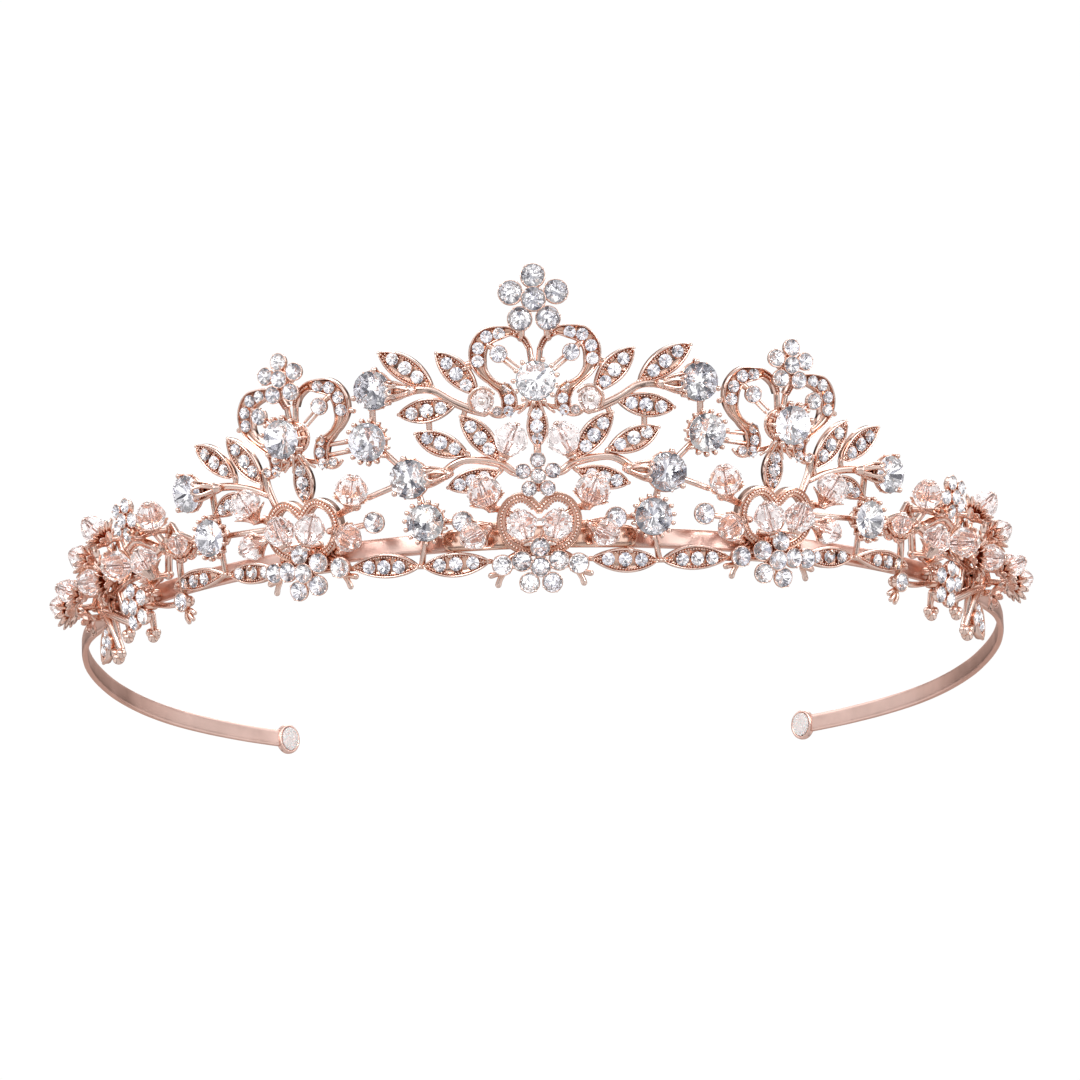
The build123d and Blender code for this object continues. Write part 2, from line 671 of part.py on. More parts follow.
# ---------------------------------------------------------------- sprays
# leaves: tip, foot, width, stones (around, up, radius)
INNER_LEAVES = [
    ((22.2, 31.7), (14.6, 26.2), 3.5, [(20.2, 30.7, 0.85), (18.4, 29.3, 0.95), (16.7, 27.9, 0.9)]),
    ((13.9, 31.3), (8.3, 24.9), 3.4, [(12.4, 29.7, 0.85), (11.1, 28.1, 0.95), (9.8, 26.4, 0.85)]),
    ((19.8, 22.5), (11.5, 23.6), 3.4, [(17.8, 22.6, 0.85), (15.6, 22.9, 0.95), (13.5, 23.2, 0.85)]),
    ((17.5, 19.6), (10.0, 16.3), 3.4, [(15.7, 18.9, 0.85), (13.8, 18.1, 0.95), (11.8, 17.2, 0.85)]),
    ((10.8, 21.9), (5.4, 15.2), 3.3, [(9.4, 20.3, 0.85), (8.1, 18.6, 0.95), (6.9, 17.0, 0.85)]),
    ((13.1, 11.5), (5.5, 13.6), 3.2, [(11.3, 11.9, 0.85), (9.5, 12.4, 0.9), (7.7, 12.9, 0.8)]),
]
OUTER_LEAVES = [
    ((54.4, 20.0), (47.4, 14.7), 3.3, [(52.6, 18.6, 0.85), (50.9, 17.3, 0.95), (49.2, 16.0, 0.85)]),
    ((48.0, 20.7), (42.4, 13.6), 3.3, [(46.6, 18.9, 0.85), (45.2, 17.1, 0.95), (43.9, 15.5, 0.85)]),
    ((51.8, 9.3), (46.0, 12.3), 2.8, [(50.2, 10.1, 0.75), (48.8, 10.8, 0.8), (47.4, 11.5, 0.75)]),
]
# stems: course, start width, end width
INNER_STEMS = [
    ([(7.2, 22.3), (9.0, 22.9), (11.9, 24.2), (14.5, 25.8), (16.5, 26.1), (18.2, 26.0),
      (21.6, 26.2)], 1.1, 1.3),
    ([(2.0, 13.4), (3.4, 13.6), (5.4, 14.9), (9.8, 15.5), (12.0, 14.9), (14.0, 13.6),
      (17.0, 13.2)], 0.9, 1.3),
    ([(15.4, 22.7), (15.4, 18.7)], 0.9, 0.9),           # link between the two stems' leaves
    ([(9.2, 29.0), (11.0, 28.5)], 0.9, 0.9),            # link to the scroll
    ([(23.6, 26.0), (23.8, 19.0)], 1.0, 1.0),           # link between the round settings
    ([(18.3, 13.2), (23.9, 18.7)], 1.0, 1.0),
    ([(18.1, 13.0), (16.3, 6.7)], 1.0, 1.0),
    ([(16.3, 6.6), (12.3, 6.5)], 0.9, 0.9),
    ([(18.3, 13.0), (25.0, 10.6)], 0.9, 0.9),
    ([(24.0, 19.3), (29.2, 18.9)], 0.7, 0.7),
    ([(24.0, 18.0), (29.8, 17.4)], 0.7, 0.7),
    ([(16.4, 6.4), (17.6, 0.4)], 0.8, 0.8),
]
OUTER_STEMS = [
    ([(41.2, 11.6), (44.6, 12.9), (48.6, 13.5), (52.6, 13.4)], 1.0, 1.3),
    ([(52.2, 13.3), (51.6, 6.3)], 1.0, 1.0),
    ([(44.0, 6.6), (51.4, 6.1)], 0.9, 0.9),
    ([(51.6, 6.0), (51.0, 0.6)], 0.9, 0.9),
    ([(51.6, 6.1), (57.6, 4.6)], 0.9, 0.9),
]
# short ties that take no leaves: course, width
INNER_TIES = [([(5.0, 15.9), (5.4, 14.9)], 1.0), ([(10.6, 21.3), (9.9, 23.3)], 0.9)]
OUTER_TIES = [([(52.6, 13.2), (55.3, 13.0)], 1.3)]
# round stones in crown settings: around, up, stone radius
INNER_CROWNS = [(22.8, 26.3, 2.75), (24.0, 18.8, 2.75), (18.2, 13.1, 2.8), (16.2, 6.6, 2.65)]
OUTER_CROWNS = [(55.3, 13.0, 2.7), (51.6, 6.1, 2.7)]
CROWN_OUT = 2.4
CROWN_PAD_R = 1.9


def crown_setting(around, up, radius):
    """Adds a large round stone; returns its deep cup and post."""
    location = lattice_location(around, up, CROWN_OUT)
    crown_stones.append(location * stone(radius))
    return [location * cup(radius, 2.0, 0.42),
            post(around, up, POST_BACK, CROWN_OUT - 1.7, 1.2)]


def nearest(points, x, y):
    return min(points, key=lambda point: math.hypot(point[0] - x, point[1] - y))


def spray(casting, around_mid, leaves, stems, ties, crowns):
    faces, holes, course, solids = [], [], [], []
    for tip, foot, width, stones in leaves:
        faces.append(leaf(tip, foot, width))
        holes += set_stones("right", stones)
    for points, start_width, end_width in stems:
        faces.append(stroke(points, start_width, end_width))
        course += smooth(points, 8)
    # tie each leaf's foot to the nearest stem
    for tip, foot, _, _ in leaves:
        dx, dy = tip[0] - foot[0], tip[1] - foot[1]
        length = math.hypot(dx, dy)
        inside = (foot[0] + dx * 1.3 / length, foot[1] + dy * 1.3 / length)
        near = nearest(course, *foot)
        if math.hypot(near[0] - foot[0], near[1] - foot[1]) > 0.05:
            faces.append(stroke([inside, foot, near], 0.9, steps=1))
    for around, up, radius in crowns:
        faces.append(disc(around, up, CROWN_PAD_R))
        solids += crown_setting(around, up, radius)
    pads, feet = feet_of(casting)
    faces += [stroke(*tie) for tie in ties] + pads
    return joined(panel(around_mid, faces, holes), solids + feet)


# ---------------------------------------------------------------- bottom leaf row
# tip, foot, width, stones, courses of the ties
BASE_LEAVES = [
    ((17.3, 0.1), (7.4, 0.5), 3.4, [(14.8, 0.2, 0.9), (12.4, 0.3, 0.95), (9.9, 0.4, 0.9)],
     [[(7.3, 0.5), (8.9, 0.45)]]),
    ((18.1, 0.1), (28.3, 0.4), 3.4, [(21.0, 0.15, 0.9), (23.3, 0.25, 0.95), (25.6, 0.3, 0.9)],
     [[(15.8, 0.1), (19.8, 0.1)], [(27.0, 0.3), (28.6, 0.2)]]),
    ((50.1, 0.5), (41.0, 0.4), 3.0, [(48.0, 0.45, 0.85), (45.6, 0.45, 0.9), (43.1, 0.4, 0.85)],
     [[(49.2, 0.4), (53.2, 0.1)], [(42.6, 0.4), (41.6, 0.3)]]),
    ((62.2, -0.7), (51.2, 0.4), 3.0, [(60.0, -0.5, 0.8), (57.7, -0.25, 0.9), (55.3, 0.0, 0.85)],
     [[(61.0, -0.6), (62.6, -1.0)]]),
]
BASE_TIE_W = 0.9
BASE_LUG_TO = -2.05


def base_leaf(tip, foot, width, stones, ties):
    faces = [leaf(tip, foot, width)] + [stroke(tie, BASE_TIE_W) for tie in ties]
    return panel((tip[0] + foot[0]) / 2, faces, set_stones("right", stones))


def base_leaf_row():
    """Two pairs of leaves, on both sides of the side heart."""
    first, second, third, fourth = [base_leaf(*entry) for entry in BASE_LEAVES]
    slanted = rod(lattice_point(17.5, 0.1, 0), lattice_point(17.5, 2.6, -1.4), 0.45)
    inner = joined(first, [second, lug(13.2, 1.6, LUG_R, LUG_TO_PLATE), slanted])
    outer = joined(third, [fourth, lug(46.0, 1.2, THIN_LUG_R, BASE_LUG_TO),
                           lug(57.0, 0.4, THIN_LUG_R, BASE_LUG_TO)])
    return [inner, outer]


# ---------------------------------------------------------------- end cluster
# crystal beads glued in bell cups: around, up, out, radius, axis parts
CUP_BEADS = [
    (77.2, 9.3, 4.1, 1.95, (0.45, 0.75, 0.48)),
    (82.0, 5.2, 4.6, 1.8, (0.75, 0.45, 0.48)),
    (79.6, 1.2, 4.6, 1.75, (0.50, 0.0, 0.86)),
    (71.2, 3.2, 4.4, 1.8, (0.10, 0.10, 0.98)),
    (57.6, 5.6, 2.9, 1.4, (-0.20, 0.90, 0.38)),
    (91.5, -1.9, 5.3, 1.8, (0.72, 0.25, 0.64)),
    (86.6, 0.4, 5.6, 1.7, (0.45, 0.45, 0.77)),
]
END_BEZEL = (60.2, -3.2, 1.3)
END_LEAF = ((90.0, -11.5), (84.5, -5.6), 3.2)
END_LEAF_STONES = [(88.2, -9.6, 0.85), (87.0, -8.2, 0.9), (85.7, -6.9, 0.8)]
NEAR_SPINE = [(56.5, 5.6), (60.5, 6.6), (65.0, 5.2), (69.6, 3.0), (74.0, 1.4)]
FAR_SPINE = [(72.4, 1.8), (76.0, 1.0), (80.0, -0.4), (84.0, -2.4), (87.5, -4.2)]
FAR_BRANCH_POINTS = [(75.6, 5.6), (80.6, 3.0), (86.6, 0.4), (91.2, -2.4)]
NEAR_PANEL_END = 74.2         # bead feet beyond this stand on the far panel
NEAR_HUB = (63.0, 6.0)        # the loose beads' struts meet here
NEAR_FACES = [
    stroke(NEAR_SPINE, 1.8),
    stroke([(64.0, 6.0), (69.8, 10.0)], 1.5),                   # to the top flower
    stroke([(68.0, 3.6), (69.5, -3.3)], 1.6),                   # to the bottom flower
    disc(69.8, 10.0, 1.8),
    disc(69.5, -3.3, 2.0),
    stroke([(60.4, 6.4), (60.9, 2.0), (60.6, -3.0)], 1.2),      # to the bezel stone
    disc(60.2, -3.2, 1.7),
    stroke([(60.2, -3.2), (69.0, -3.2)], 1.0),
    stroke([(60.2, -4.0), (58.7, -5.6)], 1.6, 0.9),             # twigs
    stroke([(69.3, -4.8), (68.9, -8.6)], 1.6, 1.0),
    stroke([(60.6, 7.0), (61.8, 8.6)], 1.1),
]
FAR_FACES = [
    stroke(FAR_SPINE, 2.2),
    stroke([(76.0, 1.0), (75.6, 5.6), (77.2, 9.3)], 1.3),       # to the cup beads
    stroke([(80.0, -0.2), (80.6, 3.0), (82.0, 5.2)], 1.3),
    leaf(*END_LEAF),
    stroke([(84.5, -2.6), (84.6, -6.6)], 1.6),
    stroke([(79.5, -0.6), (77.6, -5.0), (76.6, -8.6)], 1.5, 1.0),     # twigs
    stroke([(82.5, -1.8), (81.6, -7.0), (81.2, -11.8)], 1.5, 1.1),
    stroke([(87.0, -4.0), (91.2, -2.4)], 1.3),                  # to the outermost cup beads
    stroke([(85.0, -3.0), (86.6, 0.4)], 1.3),
]
END_LUGS = [(69.0, -1.6, LUG_R), (78.7, -2.6, THIN_LUG_R), (84.4, -3.3, LUG_R)]


def end_cluster():
    """Two flowers, bell cups with glued beads, twigs and the last leaf, on two flat panels."""
    near_faces, far_faces = list(NEAR_FACES), list(FAR_FACES)
    pads, solids = feet_of("end_cluster")
    for around, up, _ in bead_feet["end_cluster"]:
        near_faces.append(stroke([(around, up), NEAR_HUB], 1.3))
    near_faces += pads
    near_holes = set_stones("right", [END_BEZEL])
    far_holes = set_stones("right", END_LEAF_STONES)
    for entry in CUP_BEADS:
        around, up, foot = mounted_bead("{}_end_cup_beads", *entry, CUP_MOUNT)
        solids += foot
        if around < NEAR_PANEL_END:
            faces, anchors = near_faces, NEAR_SPINE
        else:
            faces, anchors = far_faces, FAR_SPINE + FAR_BRANCH_POINTS
        faces.append(disc(around, up, FOOT_PAD_R))
        faces.append(stroke([(around, up), nearest(anchors, around, up)], STRUT_W))
    near = panel(65.5, near_faces, near_holes)
    far = panel(82.0, far_faces, far_holes)
    return joined(near, [far, solids, flower_solids("end_top"), flower_solids("end_bottom"),
                         [lug(*entry, LUG_TO_STRIP) for entry in END_LUGS]])


# ---------------------------------------------------------------- rondelles
RONDELLE_AT = (7.3, 24.0)     # above the feet of the centre scroll
RONDELLE_OUT = 2.7
RONDELLE_R = 1.75


def add_rondelles():
    """A rondelle on a short pin on each side."""
    half, rim = 0.62 * RONDELLE_R, 0.2 * RONDELLE_R
    shoulder = 0.7 * RONDELLE_R
    rondelle = lattice_location(*RONDELLE_AT, RONDELLE_OUT) * turned(
        [(BEAD_HOLE_R, -half), (shoulder, -half), (RONDELLE_R, -rim),
         (RONDELLE_R, rim), (shoulder, half), (BEAD_HOLE_R, half)])
    pin = post(*RONDELLE_AT, 0.3, RONDELLE_OUT + half + 0.35, BEAD_PIN_R)
    add("center_rondelles", rondelle, mirrored(rondelle))
    add("bead_pins", pin, mirrored(pin))


# ---------------------------------------------------------------- build all pieces
front_points, arm_points = split_band(band_curve())
add("headband_center", band_front(front_points))
right_arm, right_pad = arm_and_pad(arm_points)
add_pair("headband_{}_arm", right_arm)
add_pair("{}_tip_pad", right_pad)
add("backing_plate", backing_plate())

# the beads come first: the castings grow pads under their feet
for bead_name, casting_name, *bead_data in BEADS:
    bead_feet[casting_name].append(mounted_bead("{}_" + bead_name, *bead_data, LOOSE_MOUNT))

add("center_heart_casting", heart_casting("center"))
add("center_scroll_casting", scroll_casting("center"))
add("center_top_flower", center_top_flower())
add_pair("{}_heart_casting", heart_casting("side"))
add_pair("{}_scroll_casting", scroll_casting("side"))
add_pair("{}_top_flower", side_top_flower())
add_pair("{}_inner_spray_casting",
         spray("inner_spray", 14.0, INNER_LEAVES, INNER_STEMS, INNER_TIES, INNER_CROWNS))
add_pair("{}_outer_spray_casting",
         spray("outer_spray", 49.0, OUTER_LEAVES, OUTER_STEMS, OUTER_TIES, OUTER_CROWNS))
add_pair("{}_base_leaf_row", base_leaf_row())
add_pair("{}_end_cluster_casting", end_cluster())
add_rondelles()

add("motif_round_stones", big_stones)
add_pair("{}_crown_set_stones", crown_stones)
add_pair("{}_pave_stones", pave_stones["right"])
add_pair("{}_flower_stones", flower_stones["right"])
add("center_pave_stones", pave_stones["center"])
add("center_flower_stones", flower_stones["center"])

# ---------------------------------------------------------------- one STEP file per piece
os.makedirs("parts", exist_ok=True)
for name, solids in nodes.items():
    piece = solids[0] if len(solids) == 1 else Compound(children=list(solids))
    piece.label = name
    export_step(piece, "parts/" + name + ".step")
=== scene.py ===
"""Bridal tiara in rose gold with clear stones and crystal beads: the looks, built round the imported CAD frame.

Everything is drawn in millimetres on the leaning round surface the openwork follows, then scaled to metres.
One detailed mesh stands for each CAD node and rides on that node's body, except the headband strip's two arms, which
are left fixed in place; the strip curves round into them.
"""
import json
import math

import bpy
import numpy as np
from mathutils import Matrix, Vector


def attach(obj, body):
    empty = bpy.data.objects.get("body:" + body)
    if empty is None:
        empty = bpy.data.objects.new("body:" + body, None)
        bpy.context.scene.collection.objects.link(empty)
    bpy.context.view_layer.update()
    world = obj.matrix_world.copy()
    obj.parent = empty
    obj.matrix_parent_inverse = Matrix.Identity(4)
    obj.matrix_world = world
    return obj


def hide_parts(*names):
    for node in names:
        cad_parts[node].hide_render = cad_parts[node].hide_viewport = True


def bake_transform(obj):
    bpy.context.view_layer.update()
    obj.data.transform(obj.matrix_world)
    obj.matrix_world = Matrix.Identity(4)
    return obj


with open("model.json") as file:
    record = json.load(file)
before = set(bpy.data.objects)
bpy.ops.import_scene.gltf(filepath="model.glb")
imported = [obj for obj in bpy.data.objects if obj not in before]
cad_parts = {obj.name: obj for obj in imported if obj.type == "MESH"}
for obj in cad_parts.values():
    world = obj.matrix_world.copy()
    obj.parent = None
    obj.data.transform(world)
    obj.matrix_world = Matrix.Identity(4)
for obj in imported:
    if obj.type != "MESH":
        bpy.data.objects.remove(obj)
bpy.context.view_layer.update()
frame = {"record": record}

RNG = np.random.default_rng(384)

# ---------------------------------------------------------------- driving dimensions, mm
LATTICE_R = 74.4      # radius of the circle the openwork follows
LEAN_DEG = 6.0        # the openwork leans outward towards its top
CAST_T = 1.2          # thickness of the castings
BAND_H = 3.0          # height of the headband strip
BAND_T = 1.0          # thickness of the headband strip
BAND_R = 72.2         # radius of the strip's centre line at the front
BAND_Z0 = 3.8         # height of the strip's centre line at the front
BAND_DROP_DEG = 10.2  # slope of the strip's plane towards the back
BEAD_HOLE_R = 0.45    # hole through a crystal bead
BEAD_PIN_R = 0.40     # wire pin through a crystal bead


def surf(s, h, n=0.0):
    """Point of the lattice: s along the circle (right positive), h up the leaning surface, n outward."""
    a = s / LATTICE_R
    r = (math.sin(a), -math.cos(a), 0.0)
    c, k = math.cos(math.radians(LEAN_DEG)), math.sin(math.radians(LEAN_DEG))
    rr = LATTICE_R + h * k + n * c
    return (rr * r[0], rr * r[1], h * c - n * k)


def axes(s):
    """The three directions at s: along the circle, up the surface, outward."""
    a = s / LATTICE_R
    c, k = math.cos(math.radians(LEAN_DEG)), math.sin(math.radians(LEAN_DEG))
    t = (math.cos(a), math.sin(a), 0.0)
    u = (k * math.sin(a), -k * math.cos(a), c)
    n = (c * math.sin(a), -c * math.cos(a), -k)
    return t, u, n


def turn(u, v, place):
    """Motif coordinates to (s, h)."""
    s0, h0, rot = place
    c, k = math.cos(math.radians(rot)), math.sin(math.radians(rot))
    return (s0 + u * c - v * k, h0 + u * k + v * c)


# places of the repeated motifs: s, h, turn in degrees (clockwise negative); right side only, the left is its mirror
SCROLL_AT = {"center": (0.0, 26.8, 0.0), "side": (36.0, 20.0, -5.0)}
HEART_AT = {"center": (0.0, -0.4, 0.0), "side": (35.2, 0.0, -2.0)}

# one half of the heart-shaped scroll, origin at the large round stone
SCROLL_PATH = [(0.75, 4.6), (1.7, 6.2), (3.6, 7.5), (6.1, 7.6), (7.9, 6.0), (8.4, 3.4), (7.5, 1.0), (5.9, -1.2), (4.7, -3.0), (4.4, -4.9)]
SCROLL_STONES = [(4.9, 6.9), (6.65, 6.55), (7.85, 4.9), (8.0, 3.0), (4.05, -1.0), (3.75, -2.7), (3.9, -4.4)]
SCROLL_INNER = (5.0, 4.0)                      # small stone inside the scroll
SCROLL_INNER_STEM = [(4.2, 3.2), (2.7, 1.8)]
SCROLL_FOOT_STONE = (5.5, -4.5)
MID_LEAF = ((0.0, -3.5), (0.0, -9.9), 3.0)     # upright leaf under the stone
MID_LEAF_STONES = [(0.0, -4.95, 0.8), (0.0, -6.75, 0.9), (0.0, -8.5, 0.75)]

# heart casting, origin at the middle stone of the bottom flower (one half, mirrored)
HEART_HALF = [(0.0, 8.1), (0.7, 9.1), (1.7, 10.0), (2.9, 10.25), (4.2, 9.7), (5.2, 8.5), (5.65, 6.9), (5.4, 5.2), (4.6, 3.7), (3.3, 2.7), (1.7, 2.2), (0.0, 2.6)]
HEART_BOTTOM_STONES = (5.45, 0.35, 1.35)
TWIGS = [((5.9, -0.9), (7.3, -1.2)), ((5.6, -1.1), (6.3, -2.6))]
FLOWER_BOTTOM = (2.85, 1.3)                    # radius to a petal's middle, radius of its stone

# sprays, right side: (tip, foot, width, stones (s, h, r))
INNER_LEAVES = [
    ((22.2, 31.7), (14.6, 26.2), 3.5, [(20.2, 30.7, 0.85), (18.4, 29.3, 0.95), (16.7, 27.9, 0.9)]),
    ((13.9, 31.3), (8.3, 24.9), 3.4, [(12.4, 29.7, 0.85), (11.1, 28.1, 0.95), (9.8, 26.4, 0.85)]),
    ((19.8, 22.5), (11.5, 23.6), 3.4, [(17.8, 22.6, 0.85), (15.6, 22.9, 0.95), (13.5, 23.2, 0.85)]),
    ((17.5, 19.6), (10.0, 16.3), 3.4, [(15.7, 18.9, 0.85), (13.8, 18.1, 0.95), (11.8, 17.2, 0.85)]),
    ((10.8, 21.9), (5.4, 15.2), 3.3, [(9.4, 20.3, 0.85), (8.1, 18.6, 0.95), (6.9, 17.0, 0.85)]),
    ((13.1, 11.5), (5.5, 13.6), 3.2, [(11.3, 11.9, 0.85), (9.5, 12.4, 0.9), (7.7, 12.9, 0.8)]),
]
OUTER_LEAVES = [
    ((54.4, 20.0), (47.4, 14.7), 3.3, [(52.6, 18.6, 0.85), (50.9, 17.3, 0.95), (49.2, 16.0, 0.85)]),
    ((48.0, 20.7), (42.4, 13.6), 3.3, [(46.6, 18.9, 0.85), (45.2, 17.1, 0.95), (43.9, 15.5, 0.85)]),
    ((51.8, 9.3), (46.0, 12.3), 2.8, [(50.2, 10.1, 0.75), (48.8, 10.8, 0.8), (47.4, 11.5, 0.75)]),
]
BASE_LEAVES = [
    ((17.3, 0.1), (7.4, 0.5), 3.4, [(14.8, 0.2, 0.9), (12.4, 0.3, 0.95), (9.9, 0.4, 0.9)]),
    ((18.1, 0.1), (28.3, 0.4), 3.4, [(21.0, 0.15, 0.9), (23.3, 0.25, 0.95), (25.6, 0.3, 0.9)]),
    ((50.1, 0.5), (41.0, 0.4), 3.0, [(48.0, 0.45, 0.85), (45.6, 0.45, 0.9), (43.1, 0.4, 0.85)]),
    ((62.2, -0.7), (51.2, 0.4), 3.0, [(60.0, -0.5, 0.8), (57.7, -0.25, 0.9), (55.3, 0.0, 0.85)]),
]
END_LEAF = ((90.0, -11.5), (84.5, -5.6), 3.2, [(88.2, -9.6, 0.85), (87.0, -8.2, 0.9), (85.7, -6.9, 0.8)])

INNER_STEMS = [
    ([(7.2, 22.3), (9.0, 22.9), (11.9, 24.2), (14.5, 25.8), (16.5, 26.1), (18.2, 26.0), (21.6, 26.2)], 1.1, 1.3),
    ([(2.0, 13.4), (3.4, 13.6), (5.4, 14.9), (9.8, 15.5), (12.0, 14.9), (14.0, 13.6), (17.0, 13.2)], 0.9, 1.3),
    ([(15.4, 22.7), (15.4, 18.7)], 0.9, 0.9),           # link between the two stems' leaves
    ([(9.2, 29.0), (11.0, 28.5)], 0.9, 0.9),            # link to the scroll
    ([(23.6, 26.0), (23.8, 19.0)], 1.0, 1.0),           # link between the round settings
    ([(18.3, 13.2), (23.9, 18.7)], 1.0, 1.0),
    ([(18.1, 13.0), (16.3, 6.7)], 1.0, 1.0),
    ([(16.3, 6.6), (12.3, 6.5)], 0.9, 0.9),
    ([(18.3, 13.0), (25.0, 10.6)], 0.9, 0.9),
    ([(24.0, 19.3), (29.2, 18.9)], 0.7, 0.7),
    ([(24.0, 18.0), (29.8, 17.4)], 0.7, 0.7),
    ([(16.4, 6.4), (17.6, 0.4)], 0.8, 0.8),
]
OUTER_STEMS = [
    ([(41.2, 11.6), (44.6, 12.9), (48.6, 13.5), (52.6, 13.4)], 1.0, 1.3),
    ([(52.2, 13.3), (51.6, 6.3)], 1.0, 1.0),
    ([(44.0, 6.6), (51.4, 6.1)], 0.9, 0.9),
    ([(51.6, 6.0), (51.0, 0.6)], 0.9, 0.9),
    ([(51.6, 6.1), (57.6, 4.6)], 0.9, 0.9),
]
# round stones in crown settings, right side: name, s, h, stone radius
CHATONS = [("upper", 22.8, 26.3, 2.75), ("middle", 24.0, 18.8, 2.75), ("lower", 18.2, 13.1, 2.8), ("bottom", 16.2, 6.6, 2.65),
           ("outer_upper", 55.3, 13.0, 2.7), ("outer_lower", 51.6, 6.1, 2.7)]
CHATON_N = 2.4
MOTIF_STONE_R = 2.8
MOTIF_STONE_N = 4.6

# crystal beads that turn on their pins: name, s, h, n, radius, axis (s, h, n parts), right side
BEADS = [
    ("center_leaf_bead", 3.55, 18.4, 3.3, 2.5, (-0.42, 0.90, 0.10)),
    ("center_heart_bead", 2.40, 5.9, 4.15, 2.3, (0.30, 0.95, 0.0)),
    ("center_upper_bead", 7.5, 10.9, 3.6, 2.5, (0.28, 0.90, 0.34)),
    ("center_lower_bead", 9.2, 4.5, 3.3, 2.1, (0.84, -0.44, 0.32)),
    ("heart_inner_bead", 32.80, 6.5, 4.15, 2.3, (-0.30, 0.95, 0.0)),
    ("heart_outer_bead", 37.60, 6.4, 4.15, 2.3, (0.34, 0.94, 0.0)),
    ("upper_inner_bead", 26.3, 11.9, 3.6, 2.4, (-0.30, 0.90, 0.32)),
    ("upper_outer_bead", 43.3, 10.6, 3.6, 2.4, (0.34, 0.88, 0.34)),
    ("lower_inner_bead", 27.3, 4.9, 3.3, 2.05, (-0.86, -0.40, 0.32)),
    ("lower_outer_bead", 43.1, 4.4, 3.3, 2.0, (0.88, -0.36, 0.32)),
    ("end_upper_bead", 61.8, 10.2, 3.9, 2.3, (-0.30, 0.88, 0.36)),
    ("end_middle_bead", 64.6, 3.4, 3.9, 2.2, (0.28, 0.90, 0.34)),
]
# crystal beads glued in the bell cups: s, h, n, radius, axis, right side
CUP_BEADS = [
    (77.2, 9.3, 4.1, 1.95, (0.45, 0.75, 0.48)),
    (82.0, 5.2, 4.6, 1.8, (0.75, 0.45, 0.48)),
    (79.6, 1.2, 4.6, 1.75, (0.50, 0.0, 0.86)),
    (71.2, 3.2, 4.4, 1.8, (0.10, 0.10, 0.98)),
    (57.6, 5.6, 2.9, 1.4, (-0.20, 0.90, 0.38)),
    (91.5, -1.9, 5.3, 1.8, (0.72, 0.25, 0.64)),
    (86.6, 0.4, 5.6, 1.7, (0.45, 0.45, 0.77)),
]
RONDELLES = [(7.3, 24.0, 2.7, 1.75)]            # at the scroll's feet: s, h, n, radius
BEZELS = [("center_heart", 11.0, 6.5, 1.4), ("side_heart", 24.1, 6.9, 1.4), ("end_cluster", 60.2, -3.2, 1.3)]
# flowers: group, s, h, n, radius to petal, stone radius, turn, backward tilt in degrees
FLOWERS = [
    ("center_top", 0.0, 38.6, 3.0, 3.5, 1.6, 0.0, 10.0),
    ("center_mid", 0.0, 12.9, 2.2, 2.3, 1.0, 0.0, 0.0),
    ("center_bottom", 0.0, -0.4, 2.2, 2.85, 1.3, 0.0, 0.0),
    ("side_top", 36.6, 28.8, 2.4, 2.6, 1.15, -5.0, 5.0),
    ("side_bottom", 35.2, 0.0, 2.2, 2.85, 1.3, -12.0, 0.0),
    ("end_top", 69.8, 10.0, 3.0, 2.3, 1.0, 20.0, 0.0),
    ("end_bottom", 69.5, -3.3, 3.0, 2.5, 1.1, -15.0, 0.0),
]


# ---------------------------------------------------------------- drawing helpers (all in mm)
def S(s, h, n=0.0):
    """surf() for arrays."""
    s, h, n = np.broadcast_arrays(np.asarray(s, float), np.asarray(h, float), np.asarray(n, float))
    a = s / LATTICE_R
    c, k = math.cos(math.radians(LEAN_DEG)), math.sin(math.radians(LEAN_DEG))
    rr = LATTICE_R + h * k + n * c
    return np.stack([rr * np.sin(a), -rr * np.cos(a), h * c - n * k], -1)


def out_dir(s):
    """Outward direction at s, for arrays."""
    a = np.asarray(s, float) / LATTICE_R
    c, k = math.cos(math.radians(LEAN_DEG)), math.sin(math.radians(LEAN_DEG))
    return np.stack([c * np.sin(a), -c * np.cos(a), np.full_like(a, -k)], -1)


def fr(s, h, n=0.0, turn_deg=0.0, tilt_deg=0.0):
    """Local frame (origin, x, y, z) on the surface; z points outward."""
    t, u, w = (np.array(v) for v in axes(s))
    a, b = math.radians(tilt_deg), math.radians(turn_deg)
    y, z = u * math.cos(a) - w * math.sin(a), w * math.cos(a) + u * math.sin(a)
    x2, y2 = t * math.cos(b) + y * math.sin(b), y * math.cos(b) - t * math.sin(b)
    return np.array(surf(s, h, n)), x2, y2, z


def fr_dir(origin, d, spin=0.0):
    """Local frame whose z is the direction d."""
    z = np.array(d, float) / np.linalg.norm(d)
    x = np.cross([1, 0, 0] if abs(z[0]) < 0.8 else [0, 1, 0], z)
    x = x / np.linalg.norm(x)
    y = np.cross(z, x)
    c, k = math.cos(spin), math.sin(spin)
    return np.array(origin, float), x * c + y * k, y * c - x * k, z


def local_dir(s, d):
    t, u, w = axes(s)
    v = np.array([d[0] * t[i] + d[1] * u[i] + d[2] * w[i] for i in range(3)])
    return v / np.linalg.norm(v)


def at(f, pts):
    o, x, y, z = f
    p = np.asarray(pts, float)
    return o + p[..., 0:1] * x + p[..., 1:2] * y + p[..., 2:3] * z


def shift(f, x=0.0, y=0.0, z=0.0):
    return (at(f, np.array([x, y, z], float)),) + tuple(f[1:])


